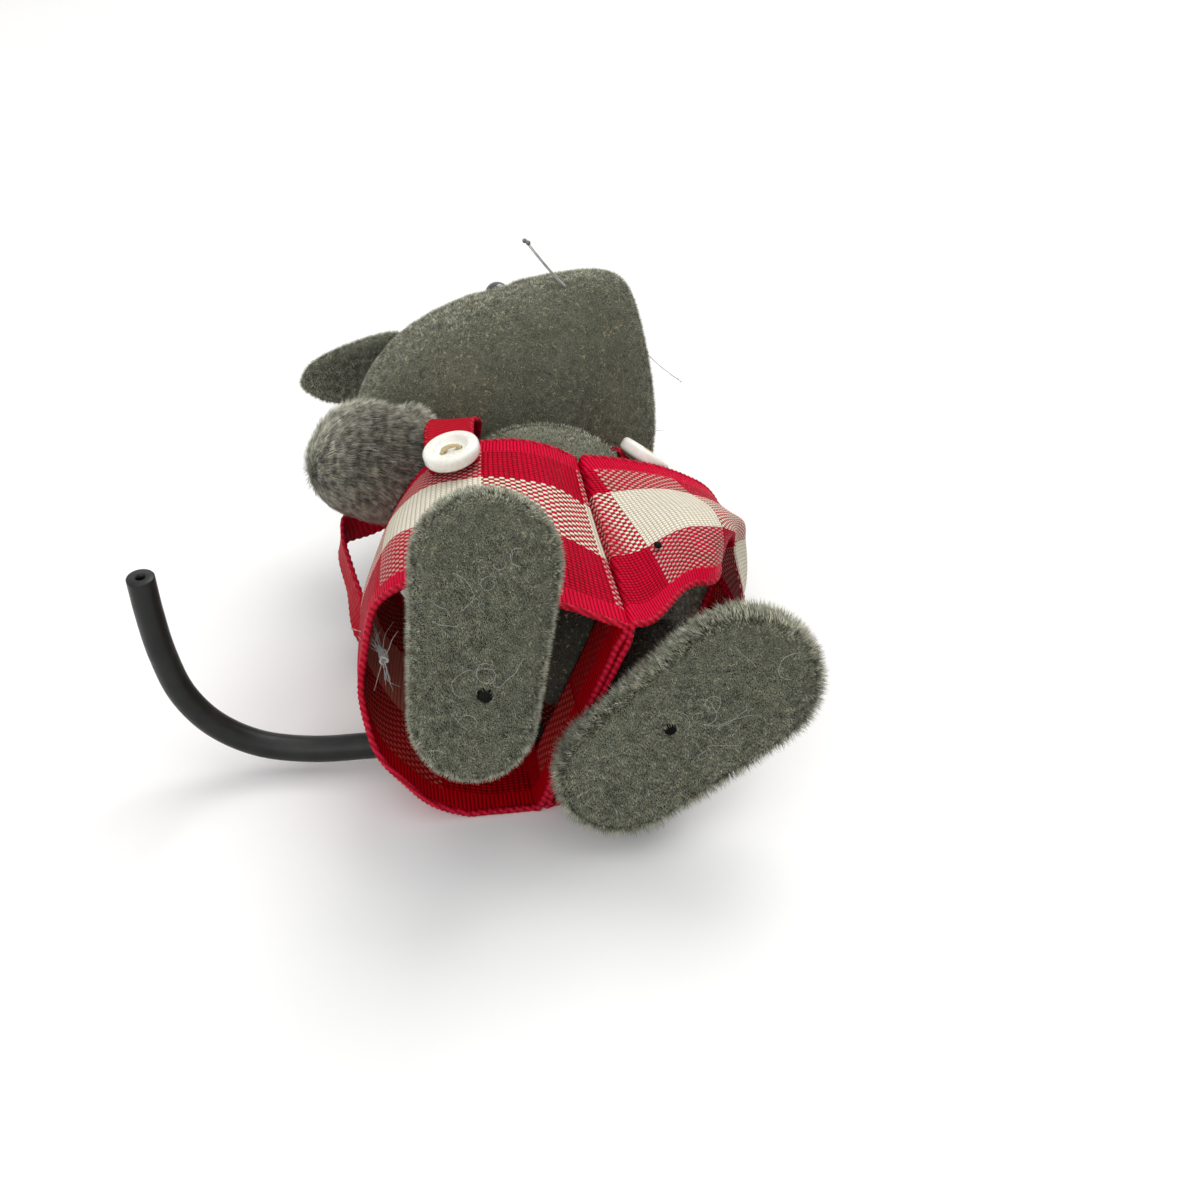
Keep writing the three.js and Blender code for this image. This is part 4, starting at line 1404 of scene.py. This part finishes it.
@dataclass
class TrouserLeg:
    """One tube of gingham ribbon round a leg, open to the other above the crotch."""

    side: Side
    waist_half: float
    hem_back: float
    hem_lift: float
    squareness: float
    skew: float = 0.0
    skew_reach: float = 14.0
    waist_dip: float = 0.0
    hem_y: float = -16.5
    height: float = 27.0
    hem_half: float = 21.4
    front: float = 13.4
    waist_back: float = 12.6
    seam_share: float = 0.48
    seam_gap: float = 0.3
    crotch_y: float = -10.5
    opening: float = 3.0
    torso_reach: float = 11.05
    wall: float = 0.45
    columns: int = 208
    rows: int = 54
    creases: tuple[Point, ...] = ((0.16, 7, 0.6), (0.1, 13, -1.1))  # height, count round, count up

    def middle(self, u: np.ndarray, v: np.ndarray) -> np.ndarray:
        """Points of the ribbon's outer face in the body frame.

        Args:
            u: 0 to 1 from the inner wall round the front, the outer side and the back.
            v: 0 at the hem to 1 at the waist.

        Returns:
            The points, in millimetres.
        """
        a = math.pi * (1 - 2 * u)
        c, s = np.cos(a), np.sin(a)
        half = self.hem_half + (self.waist_half - self.hem_half) * v**2
        back = self.hem_back + (self.waist_back - self.hem_back) * v
        wide = half / (1 + self.seam_share)
        power = 2 / self.squareness
        inset = self.wall / 2
        x = wide * self.seam_share + (wide - inset) * np.sign(c) * np.abs(c) ** power
        z = (np.where(s > 0, self.front, back) - inset) * np.sign(s) * np.abs(s) ** power
        sideways = np.arctan2(s, c) - 0.1
        lift = self.hem_lift * np.exp(-(sideways**2)) * (1 - v)
        under = np.exp(-(((sideways + 0.45) / 0.65) ** 2))
        y = self.hem_y + self.height * v + lift - self.waist_dip * under * v**3
        points = np.stack([self.side.value * np.maximum(x, self.seam_gap / 2 + inset), y, z], 1)
        points += Drape().moves(self.side, points, v) + self.ripples(u, v, points)
        world = moved(points, BODY)
        world[:, 2] = np.maximum(world[:, 2], inset + TABLE_GAP)
        return moved(world, BODY.inverted())

    def ripples(self, u: np.ndarray, v: np.ndarray, points: np.ndarray) -> np.ndarray:
        """How far the cloth's small creases stand off its form.

        Args:
            u: place round the tube.
            v: place up the tube.
            points: the plain form's points.

        Returns:
            The moves, in millimetres.
        """
        out = points * (1, 0, 1) - np.array((self.side.value * self.waist_half * 0.5, 0, 0))
        out /= np.maximum(np.linalg.norm(out, axis=1), 1e-6)[:, None]
        ripple = sum(high * np.sin(2 * math.pi * (n * u + up * v)) for high, n, up in self.creases)
        inner = np.exp(-((np.minimum(u, 1 - u) / 0.09) ** 2))
        return out * (ripple * (0.35 + 0.65 * (1 - v)) * (1 - inner))[:, None]

    def round_lengths(self, count: int = 721) -> tuple[np.ndarray, np.ndarray, float]:
        """The ribbon's length round the tube at mid height.

        Args:
            count: how many places are measured.

        Returns:
            The parameters, the lengths from the front seam, and the whole length.
        """
        u = np.linspace(0, 1, count)
        line = self.middle(u, np.full(count, 0.5))
        length = distances(line)
        seam = length[np.argmax(np.abs(line[:, 0]) > self.seam_gap / 2 + self.wall / 2 + 0.05)]
        return u, length - seam, float(length[-1])

    def laid(self, u: np.ndarray, v: np.ndarray) -> np.ndarray:
        """The ribbon's own coordinates in centimetres: along it, and down from the waist edge.

        Args:
            u: place round the tube.
            v: place up the tube.

        Returns:
            The coordinates, as rows.
        """
        table, length, _ = self.round_lengths()
        along = np.interp(u, table, length)
        down = self.height * (1 - v)
        skewed = along - self.skew * down * np.exp(-np.abs(along) / self.skew_reach)
        return np.stack([skewed, down], 1) / MM_PER_CM

    def build(self, finishes: Finishes) -> list[Piece]:
        """Makes the ribbon tube and its two wired edges.

        Args:
            finishes: the materials.

        Returns:
            The tube and its edges.
        """
        name = f"trouser_{self.side.label}"
        bm = shaped_grid(self.columns, self.rows, self.middle, self.laid)
        bmesh.ops.remove_doubles(bm, verts=bm.verts, dist=1e-4)
        gone = [face for face in bm.faces if self.cut_away(face.calc_center_median())]
        bmesh.ops.delete(bm, geom=gone, context="FACES")
        area = sum(face.calc_area() for face in bm.faces)
        bmesh.ops.transform(bm, matrix=BODY, verts=bm.verts)
        if self.side is Side.LEFT:
            bmesh.ops.reverse_faces(bm, faces=bm.faces)
        cloth = finished(f"{name}_cloth", bm, outward=False)
        wall = cloth.modifiers.new("wall", "SOLIDIFY")
        # the cloth's two shells take the face material and the darker inside one, which is painted shade
        # inside the tube
        wall.thickness, wall.offset, wall.material_offset = self.wall * MM, 0, 1
        for face in ("lining", "face"):
            cloth.data.materials.append(finishes.gingham[self.side, face])
        fitted(cloth, None, "body", name)
        edges = [self.edge(label, v, finishes) for label, v in (("hem", 0.0), ("waist", 1.0))]
        whole = self.round_lengths()[2]
        return [cloth, *edges]

    def cut_away(self, at: Vector) -> bool:
        """Whether a point of the inner wall is left out so that the tubes open to each other."""
        return abs(at.x) < self.opening and at.y > self.crotch_y and abs(at.z) < self.torso_reach

    def edge(self, label: str, v: float, finishes: Finishes) -> Piece:
        """A scalloped wired edge along the hem or the waist.

        Args:
            label: the edge's name.
            v: 0 for the hem, 1 for the waist.
            finishes: the materials.

        Returns:
            The edge.
        """
        u = np.linspace(0, 1, 1200)
        line = self.middle(u, np.full(len(u), v))
        line = line[[k for k, p in enumerate(line) if not self.cut_away(Vector(p))]]
        line, radius = WIRED_EDGE.cord(line, length_of(line))
        line = moved(line, BODY)
        line[:, 2] = np.maximum(line[:, 2], radius + TABLE_GAP)
        cord = finished(f"trouser_{self.side.label}_{label}_edge", swept(line, radius, WIRED_EDGE.sides))
        return fitted(cord, finishes.edging, "body")


@dataclass
class Strap:
    """A red ribbon shoulder strap along stations: points and the way its width runs there."""

    side: Side
    points: tuple[Point, ...]
    widths: tuple[Point, ...]
    width: float = 5.4
    wall: float = 0.4
    cup: float = 0.075
    cup_seat: float = 0.036
    picot_room: float = 0.5
    picot_in: float = 0.3
    steps: int = 150
    cells_across: int = 10

    def build(self, finishes: Finishes) -> list[Piece]:
        """Makes the strap and its two picot edges.

        Args:
            finishes: the materials.

        Returns:
            The strap and its edges.
        """
        name = f"strap_{self.side.label}"
        line = through(self.points, self.steps + 1)
        way = unit(np.gradient(line, axis=0))
        wide = through(self.widths, self.steps + 1)
        wide = unit(wide - way * (wide * way).sum(1)[:, None])
        thick = np.cross(way, wide)
        length = distances(line)

        def place(u: np.ndarray, v: np.ndarray) -> np.ndarray:
            """Points of the strap: u along it, v across it, slightly cupped.

            Args:
                u: how far along it, 0 to 1.
                v: how far across it, 0 to 1.

            Returns:
                The points, as rows.
            """
            k = np.rint(u * self.steps).astype(int)
            across = v - 0.5
            cup = self.cup * (1 - (2 * across) ** 2) - self.cup_seat
            aside = across * (self.width - self.picot_room)
            return line[k] + wide[k] * aside[:, None] + thick[k] * cup[:, None]

        def lay(u: np.ndarray, v: np.ndarray) -> np.ndarray:
            """The ribbon's own coordinates in centimetres."""
            along = np.interp(u * self.steps, np.arange(self.steps + 1), length)
            return np.stack([along, v * self.width], 1) / MM_PER_CM

        bm = shaped_grid(self.steps, self.cells_across, place, lay)
        bmesh.ops.transform(bm, matrix=BODY, verts=bm.verts)
        cloth = finished(f"{name}_ribbon", bm, outward=False)
        wall = cloth.modifiers.new("wall", "SOLIDIFY")
        wall.thickness, wall.offset = self.wall * MM, 0
        pieces = [fitted(cloth, finishes.ribbon, "body", name)]
        for label, way_out in (("inner", -1), ("outer", 1)):
            aside = way_out * (self.width / 2 - self.picot_in)
            rim, radius = PICOT_EDGE.cord(line + wide * aside, length[-1])
            edge = finished(f"{name}_{label}_picot", swept(moved(rim, BODY), radius, PICOT_EDGE.sides))
            pieces.append(fitted(edge, finishes.edging, "body"))
        return pieces


# Hard and trimmed parts


@dataclass
class Button:
    """A dished two-hole button and the stitch that holds it."""

    side: Side
    at: Point
    tilt: tuple[float, float]
    radius: float = 2.95
    thickness: float = 1.5
    dish: float = 0.55
    hole: float = 0.4
    hole_offset: float = 0.85
    rim_round: float = 0.48
    rim_width: float = 0.9
    bowl_width: float = 0.75
    ply: float = 0.18
    plies: tuple[float, ...] = (-0.16, 0.0, 0.17)  # how far each ply is turned off the holes' line

    def matrix(self) -> Matrix:
        """The button's place in millimetres.

        Returns:
            A 4 by 4 matrix from the button's own frame to the room.
        """
        turn_x, turn_y = (math.radians(angle) for angle in self.tilt)
        turn = Matrix.Rotation(turn_x, 4, "X") @ Matrix.Rotation(turn_y, 4, "Y")
        return BODY @ Matrix.Translation(self.at) @ turn

    def outline(self) -> Outline:
        """The button's half section: flat back, round rim and dished front.

        Returns:
            Radius and height rows, from the axis back to the axis.
        """
        r, t, ease = self.radius, self.thickness, self.rim_round
        floor, inside = t - self.dish, r - self.rim_width
        back = [(0, 0.02), (r - 0.5, 0.02), (r - 0.15, 0.12), (r, 0.4)]
        turns, shares = np.linspace(0, math.pi / 2, 7), np.linspace(0, math.pi, 8)
        rim = [(r - ease + ease * math.cos(a), t - 0.5 + ease * math.sin(a)) for a in turns]
        slope = [floor + self.dish * (0.5 + 0.5 * math.cos(a)) for a in shares]
        bowl = [(inside - self.bowl_width * a / math.pi, height) for a, height in zip(shares, slope)]
        return [*back, *rim, *bowl, (0, floor - 0.06)]

    def build(self, finishes: Finishes) -> None:
        """Makes the button and its stitch.

        Args:
            finishes: the materials.
        """
        disc = finished(f"button_{self.side.label}_disc", spun(self.outline(), Matrix.Identity(4), 72))
        drills = []
        for k in (-1, 1):
            bm = bmesh.new()
            bmesh.ops.create_cone(
                bm, cap_ends=True, segments=24, radius1=self.hole, radius2=self.hole, depth=4
            )
            bmesh.ops.translate(bm, vec=(k * self.hole_offset, 0, 0), verts=bm.verts)
            drills.append(finished(f"drill_{k}", bm))
            hole = disc.modifiers.new(f"hole_{k}", "BOOLEAN")
            hole.object, hole.operation, hole.solver = drills[-1], "DIFFERENCE", "EXACT"
        settled(disc)
        for drill in drills:
            bpy.data.objects.remove(drill)
        disc.data.transform(Matrix.Scale(MM, 4) @ self.matrix() @ Matrix.Scale(1 / MM, 4))
        disc.data.shade_smooth()
        fitted(disc, finishes.button, "body", f"button_{self.side.label}")
        self.sew(finishes)

    def sew(self, finishes: Finishes) -> None:
        """Makes the stitch: plies of thread from hole to hole, over the button's floor.

        Args:
            finishes: the materials.
        """
        floor, reach = self.thickness - self.dish, self.hole_offset
        plies = []
        for k, turn in enumerate(self.plies):
            top = floor + 0.3 + 0.05 * k
            stations = (
                (-reach, turn, 0.1), (-reach, turn * 0.8, floor + 0.12), (-reach * 0.55, turn * 0.4, top),
                (reach * 0.55, -turn * 0.4, top + 0.01), (reach, -turn * 0.8, floor + 0.12),
                (reach, -turn, 0.1),
            )
            line = through(stations, 40)
            plies.append(swept(moved(line, self.matrix()), np.full(len(line), self.ply), 8))
        stitch = finished(f"button_{self.side.label}_stitch", merged(plies))
        fitted(stitch, finishes.stitch, "body", f"button_thread_{self.side.label}")


@dataclass
class Tail:
    """The rubber tube of the tail, cut square at its end with its bore showing."""

    points: tuple[Point, ...]
    radius: float = 1.4
    bore: float = 0.55
    bore_depth: float = 6.0
    lip: float = 0.06
    lip_turn: float = 0.3  # how far round its edge the end is taken, as an angle
    sides: int = 36
    rows: int = 170
    bore_rows: int = 12

    def build(self, finishes: Finishes) -> None:
        """Makes the tube out to its cut end and back down its bore, as one closed skin.

        Args:
            finishes: the materials.
        """
        foot = np.array((Lying.shift_x, Lying.shift_y, 0.0))
        line = evenly(through(self.points, 400), self.rows) + foot
        end, out = line[-1], unit(np.gradient(line, axis=0))[-1]
        bore = end - out * np.linspace(0, self.bore_depth, self.bore_rows)[:, None]
        path = np.vstack([line[:-1], end - out * 0.1, end, end, bore])
        rounded = self.radius * math.cos(self.lip_turn)
        outer, inner = np.full(self.rows, self.radius), np.full(self.bore_rows, self.bore)
        radius = np.r_[outer, rounded, self.bore + self.lip, inner]
        along = np.gradient(path[: self.rows + 1], axis=0)
        along = unit(np.vstack([along, np.repeat(along[-1:], len(path) - len(along), 0)]))
        tube = finished("tail_tube", swept(path, radius, self.sides, along, (0.1, 0.2, 0.97)))
        fitted(tube, finishes.rubber, "tail", "tail")


@dataclass
class Whisker:
    """A bristle with a ball on its end."""

    node: str
    pale: bool = False
    root_radius: float = 0.13
    tip_radius: float = 0.06
    ball: float = 0.28
    pale_share: float = 0.5
    sag: float = 0.175
    rows: int = 22

    def build(self, frame: dict, finishes: Finishes) -> None:
        """Makes the bristle along its node's own line.

        Args:
            frame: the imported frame.
            finishes: the materials.
        """
        points = points_of(frame["nodes"][self.node]) / MM
        middle, way = long_axis(points)
        along = (points - middle) @ way
        off = np.linalg.norm(points - middle - along[:, None] * way, axis=1)
        if off[along > 0].max() < off[along < 0].max():
            way, along = -way, -along
        start, end = middle + way * (along.min() - 0.5), middle + way * (along.max() - self.ball)
        sag = np.array((0, 0, -self.sag))
        steps = np.linspace(0, 1, self.rows)
        line = np.array([start + (end - start) * t + sag * math.sin(math.pi * t) for t in steps])
        fine = self.pale_share if self.pale else 1.0
        thickness = fine * np.linspace(self.root_radius, self.tip_radius, self.rows)
        stalk = finished(f"{self.node}_bristle", swept(line, thickness, 8))
        outline = ball_outline(fine * self.ball, 13)
        knob = finished(f"{self.node}_ball", spun(outline, Matrix.Translation(end), 20))
        fitted(stalk, finishes.pale if self.pale else finishes.bristle, "head", self.node)
        fitted(knob, finishes.pale if self.pale else finishes.ball, "head")


@dataclass
class Bead:
    """A glossy bead, slightly flattened at its hole."""

    node: str
    flat: float = 0.96
    hole: float = 0.3

    def build(self, finishes: Finishes) -> None:
        """Turns the bead in its node's place.

        Args:
            finishes: the materials.
        """
        low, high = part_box(self.node)
        radius = (high - low).length / math.sqrt(12) / MM
        middle = (low + high) / 2 / MM
        turns = np.linspace(self.hole, math.pi - self.hole, 21)
        skin = [(radius * math.sin(a), -radius * math.cos(a)) for a in turns]
        outline = [(0.0, -self.flat * radius), *skin, (0.0, self.flat * radius)]
        bead = finished(f"{self.node}_glass", spun(outline, Matrix.Translation(middle), 40))
        fitted(bead, finishes.bead, "head", self.node)


@dataclass
class Fray:
    """Loose thread ends: thin hairs that fan out of a knot."""

    name: str
    body: str
    start: Point
    way: Point
    count: int
    reach: float
    spread: float = 0.5
    thickness: float = 0.05
    knot: float = 0.0
    curl: float = 0.35
    seed: int = 5
    rows: int = 16

    def build(self, thread: Material) -> None:
        """Makes the hairs, and the knot where there is one.

        Args:
            thread: the hairs' material.
        """
        rng = np.random.default_rng(self.seed)
        start, way = np.array(self.start), unit(np.array(self.way))
        thickness = np.linspace(self.thickness, self.thickness * 0.4, self.rows)
        parts = []
        for _ in range(self.count):
            heading = unit(way + self.spread * rng.normal(size=3) * 0.6)
            reach = self.reach * rng.uniform(0.5, 1.1)
            side = np.cross(heading, rng.normal(size=3)) * self.curl * reach
            shares = (0, 0.3, 0.65, 1)
            points = [start + heading * reach * t + side * t * t * rng.uniform(-1, 1) for t in shares]
            parts.append(swept(moved(through(points, self.rows), BODY), thickness, 5))
        if self.knot:
            ring = [
                start + self.knot * np.array((math.cos(3 * a) * 0.6, math.sin(2 * a), math.sin(3 * a) * 0.7))
                for a in np.linspace(0, 2 * math.pi, 14)
            ]
            parts.append(swept(moved(through(ring, 60), BODY), np.full(60, self.thickness * 2.6), 7))
        fitted(finished(self.name, merged(parts)), thread, self.body)


@dataclass
class Seed:
    """A small dark seed caught on the cloth."""

    at: Point
    radius: float = 0.42
    flat: float = 0.7

    def build(self, finishes: Finishes) -> None:
        """Makes the seed.

        Args:
            finishes: the materials.
        """
        outline = ball_outline(self.radius, 11, self.flat)
        seed = finished("seed_on_cloth", spun(outline, BODY @ Matrix.Translation(self.at), 16))
        fitted(seed, finishes.peg, "body")


@dataclass
class Lint:
    """Fine curly hairs caught on a flat flocked face."""

    core: str
    body: str
    count: int
    reach: float = 5.0
    lift: float = 0.6
    thickness: float = 0.023
    pin: str = ""
    seed: int = 7
    rows: int = 24
    facing: float = 0.88  # how squarely a face looks away from the head to be part of the sole
    off_edge: float = 1.0
    off_pin: float = 1.6

    def build(self, thread: Material) -> None:
        """Lays the hairs over the face that looks away from the head.

        Args:
            thread: the hairs' material.
        """
        rng = np.random.default_rng(self.seed)
        vertices = bpy.data.objects[self.core].data.vertices
        down = -np.array(BODY.col[1].xyz)
        face = np.array([vert.co for vert in vertices if np.dot(vert.normal, down) > self.facing]) / MM
        first, second, out = np.linalg.svd(face - face.mean(0), full_matrices=False)[2]
        out = out * np.sign(out @ down)
        pin = points_of(bpy.data.objects[self.pin]) / MM
        head = pin[(pin @ out) > (pin @ out).max() - 0.1].mean(0)
        wave = self.lift + 0.15 * np.sin(np.linspace(0, 5, self.rows))
        parts = []
        while len(parts) < self.count:
            first_turn, bends = rng.uniform(0, 2 * math.pi), rng.normal(0, 0.16, self.rows)
            turn = first_turn + np.cumsum(bends + rng.uniform(-0.22, 0.22))
            step = self.reach * rng.uniform(0.4, 1.1) / self.rows
            course = np.cumsum(np.outer(np.cos(turn), first) + np.outer(np.sin(turn), second), 0)
            line = face[rng.integers(len(face))] + step * course
            near = np.linalg.norm(line[:, None] - face[None, ::7], axis=2).min(1)
            if near.max() < self.off_edge and np.linalg.norm(line - head, axis=1).min() > self.off_pin:
                parts.append(swept(line + out * wave[:, None], np.full(self.rows, self.thickness), 5))
        hairs = finished(self.core.replace("core", "lint"), merged(parts))
        fitted(hairs, thread, self.body)


# Light, floor and camera


@dataclass
class Studio:
    """A white table top, soft lamps and the camera at the photograph's angle."""

    target: Point = (Lying.shift_x + 4.6, Lying.shift_y, 15.0)
    distance: float = 165.0
    elevation: float = 38.0
    focal: float = 1560.0
    frame_pixels: float = 1200.0
    sensor: float = 36.0
    room_light: float = 0.37

    def build(self) -> None:
        """Makes the table, the lamps, the surroundings and the camera."""
        self.table()
        self.lamp("key", (130, 270, 420), 320, 1.5, (1.0, 0.985, 0.96))
        self.lamp("fill", (-120, -420, 300), 420, 1.02, (0.97, 0.985, 1.0))
        self.lamp("top", (20, -60, 520), 420, 0.74, (1.0, 1.0, 1.0))
        self.surroundings()
        self.camera()
        bpy.context.scene.view_settings.view_transform = "Standard"

    def table(self) -> None:
        """Makes the white table top."""
        bm = bmesh.new()
        bmesh.ops.create_grid(bm, x_segments=4, y_segments=4, size=2500)
        top = finished("table_top", bm, outward=False)
        g = Graph("table_white")
        at = g.coordinates()
        g.shade(
            Base_Color=g.blend(g.noise(at, 6, 3), (0.97, 0.97, 0.965), (0.985, 0.985, 0.98)),
            Roughness=g.ranged(g.noise(at, 2, 3), 0.3, 0.7, 0.55, 0.7),
            Specular_IOR_Level=0.15,
        )
        g.bump(g.noise(at, 1.0, 3), 0.03, 0.3)
        top.data.materials.append(g.material)

    def lamp(self, name: str, at: Point, size: float, power: float, colour: Colour) -> None:
        """Makes one soft square lamp that looks at the figure.

        Args:
            name: the lamp's name.
            at: its place in millimetres.
            size: its side in millimetres.
            power: its power in watts.
            colour: its light's colour.
        """
        data = bpy.data.lights.new(name, "AREA")
        data.energy, data.size, data.color = power, size * MM, colour
        lamp = bpy.data.objects.new(name, data)
        bpy.context.scene.collection.objects.link(lamp)
        lamp.location = Vector(at) * MM
        lamp.rotation_mode = "QUATERNION"
        aim = Vector(self.target) * MM - lamp.location
        lamp.rotation_quaternion = aim.to_track_quat("-Z", "Y")

    def surroundings(self) -> None:
        """Makes a white room that lights softly and shows white to the camera."""
        world = bpy.data.worlds.new("white_room")
        bpy.context.scene.world = world
        world.use_nodes = True
        tree = world.node_tree
        tree.nodes.clear()
        room, sky = (tree.nodes.new("ShaderNodeBackground") for _ in range(2))
        for background, strength in ((room, self.room_light), (sky, 1.0)):
            background.inputs["Color"].default_value = (1, 1, 1, 1)
            background.inputs["Strength"].default_value = strength
        seen = tree.nodes.new("ShaderNodeLightPath")
        mix = tree.nodes.new("ShaderNodeMixShader")
        output = tree.nodes.new("ShaderNodeOutputWorld")
        shown = seen.outputs["Is Camera Ray"]
        for ray in ("Is Glossy Ray", "Is Transmission Ray"):
            either = tree.nodes.new("ShaderNodeMath")
            either.operation = "MAXIMUM"
            tree.links.new(shown, either.inputs[0])
            tree.links.new(seen.outputs[ray], either.inputs[1])
            shown = either.outputs[0]
        tree.links.new(shown, mix.inputs[0])
        tree.links.new(room.outputs[0], mix.inputs[1])
        tree.links.new(sky.outputs[0], mix.inputs[2])
        tree.links.new(mix.outputs[0], output.inputs[0])

    def camera(self) -> None:
        """Makes the camera at the photograph's angle."""
        data = bpy.data.cameras.new("camera")
        data.sensor_width = self.sensor
        data.lens = self.focal / self.frame_pixels * data.sensor_width
        data.clip_start, data.clip_end = 0.01, 10.0
        camera = bpy.data.objects.new("camera", data)
        bpy.context.scene.collection.objects.link(camera)
        down = math.radians(self.elevation)
        back = Vector((0, -math.cos(down), math.sin(down))) * self.distance
        camera.location = (Vector(self.target) + back) * MM
        camera.rotation_euler = (math.pi / 2 - down, 0, 0)
        bpy.context.scene.camera = camera


# The figure's own measures


# The tail's course over the table, from its root to its cut end, before the figure's own shift
TAIL_ROUTE: tuple[Point, ...] = (
    (-4.4, -9.2, 4.6), (-12.9, -9.65, 3.9), (-19.9, -10, 3.35), (-26, -10, 2.9), (-31.4, -10, 3.8),
    (-35.5, -10, 6.5), (-38.1, -10, 10.6), (-39.3, -10, 16), (-39.7, -10, 21.2), (-39.8, -10, 25.6),
)
# Each strap's stations from its button over the shoulder and down the back, in the body frame, and
# at each the direction across the strap
RIGHT_STRAP: tuple[tuple[Point, Point], ...] = (
    ((-14.4, 5.4, 12.1), (0.85, 0, 0.53)), ((-14.3, 9.9, 11.7), (0.85, 0, 0.53)),
    ((-13.3, 15.2, 10.8), (0.9, 0, 0.42)), ((-11.2, 19.2, 8.4), (1, 0, 0.15)),
    ((-10.2, 20.9, 3.6), (1, 0, 0)), ((-12.6, 20.2, -2), (0.9, -0.1, -0.4)),
    ((-17, 19.4, -6), (0.5, 0, -0.85)), ((-19.8, 17.8, -8.2), (0.22, 0.3, -0.9)),
    ((-18.7, 12.2, -10.4), (0.15, 0.45, -0.88)), ((-16.8, 6.8, -12.6), (-0.2, 0.6, -0.77)),
    ((-13.6, 4.6, -14.4), (0, 1, -0.1)),
)
LEFT_STRAP: tuple[tuple[Point, Point], ...] = (
    ((8.4, 11.1, 10.1), (0.88, 0, -0.47)), ((8.5, 14.5, 10.3), (0.88, 0, -0.47)),
    ((8.9, 17.7, 8.8), (0.9, 0, -0.4)), ((9.2, 20.3, 5.6), (1, 0, -0.1)), ((9, 21.2, 1), (1, 0, 0)),
    ((8.8, 19.8, -4.4), (1, 0, 0.1)), ((8.7, 15.4, -8.2), (0.94, 0, 0.3)),
    ((8.6, 9.4, -9.8), (0.94, 0, 0.34)),
)
SEAM_KNOT: Point = (-18.6, -6.9, -3.7)
BEADS = ("eye_right_glass", "eye_left_glass", "nose_bead_glass")


def flocked_parts() -> list[FlockedPart]:
    """The flocked parts with their fibres' counts, lengths and lie.

    Returns:
        The parts, in the order in which they are made.
    """
    thin = 1.0

    def part(node: str, body: str, fibres: int, **how: float) -> FlockedPart:
        return FlockedPart(node, body, int(fibres * thin), **how)

    parts = [
        part("head", "head", 140000, batches=3, length=0.5, width=0.065, comb=0.25, seed=11, beads=BEADS),
        part("torso", "body", 25000, length=0.7, grain=0.5, smoothing=7, waist=2.0, seed=12),
    ]
    for side in Side:
        k = side.label
        parts += [
            part(f"ear_{k}", "head", 19000, length=0.6, comb=0.25, seed=20 + side.value),
            part(f"arm_{k}", f"arm_{k}", 44000, length=1.7, width=0.068, comb=1.7, lean=0.55, stand=0.16,
                 pile=Pile.LONG, seed=30 + side.value),
            part(f"leg_{k}", f"leg_{k}", 11000, length=0.7, pile=Pile.INNER, seed=40 + side.value),
            part(
                f"foot_{k}", f"leg_{k}", 47500, length=0.62, rim=0.75 if side is Side.LEFT else 0.15,
                swell=0.55 if side is Side.LEFT else 0.0,
                pin=f"sole_pin_{k}", seed=50 + side.value,
            ),
        ]
    return parts


def main() -> None:
    """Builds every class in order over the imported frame."""
    logging.basicConfig(level=logging.INFO)
    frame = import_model()
    finishes = Finishes()
    obstacles = Obstacles()

    trousers = [
        TrouserLeg(Side.RIGHT, waist_half=17.2, hem_back=15.6, hem_lift=9.5, squareness=2.35),
        TrouserLeg(
            Side.LEFT, waist_half=20.0, hem_back=13.8, hem_lift=13.0, squareness=3.0, skew=0.3, waist_dip=5.0
        ),
    ]
    straps = [
        Strap(Side.RIGHT, *map(tuple, zip(*RIGHT_STRAP))),
        Strap(Side.LEFT, *map(tuple, zip(*LEFT_STRAP))),
    ]
    for cloth in (*trousers, *straps):
        for piece in cloth.build(finishes):
            obstacles.add(piece)

    Button(Side.RIGHT, (-14.6, 6.3, 12.55), (-6, -32)).build(finishes)
    Button(Side.LEFT, (8.2, 13.4, 11.8), (-22, 20)).build(finishes)
    Tail(TAIL_ROUTE).build(finishes)
    for node in ("eye_right", "eye_left", "nose_bead"):
        Bead(node).build(finishes)
    for side in Side:
        for level in ("upper", "lower"):
            Whisker(f"whisker_{side.label}_{level}", pale=side is Side.LEFT).build(frame, finishes)
    for name in (*BEADS, "button_right_disc", "button_left_disc", "tail_tube"):
        obstacles.add(bpy.data.objects[name])

    for node in frame["nodes"].values():
        if "pin" in node.name or "peg" in node.name:
            node.data.materials.clear()
            node.data.materials.append(finishes.peg)
            obstacles.add(node)

    parts = flocked_parts()
    for part in parts:
        part.build(frame, finishes)
        obstacles.add(part.core)
    for part in parts:
        part.plant(obstacles, finishes)

    seam = finishes.frayed
    Fray("side_seam_fray", "body", SEAM_KNOT, (-0.75, 1.0, 0.6), 14, 4.6, knot=0.65, seed=3).build(seam)
    Fray("side_seam_ends", "body", SEAM_KNOT, (0.3, -0.7, -0.6), 8, 3.6, seed=6).build(seam)
    Fray(
        "button_left_fray", "body", (8.6, 14.2, 13.6), (-0.2, 0.7, 0.75), 6, 2.6, thickness=0.035, seed=4
    ).build(finishes.dark_thread)
    Seed((4.5, -5.6, 14.75)).build(finishes)
    Lint("foot_right_core", "leg_right", 13, pin="sole_pin_right", seed=8).build(finishes.lint)
    Lint("foot_left_core", "leg_left", 10, pin="sole_pin_left", seed=9).build(finishes.lint)
    Studio().build()


if __name__ == "__main__":
    main()
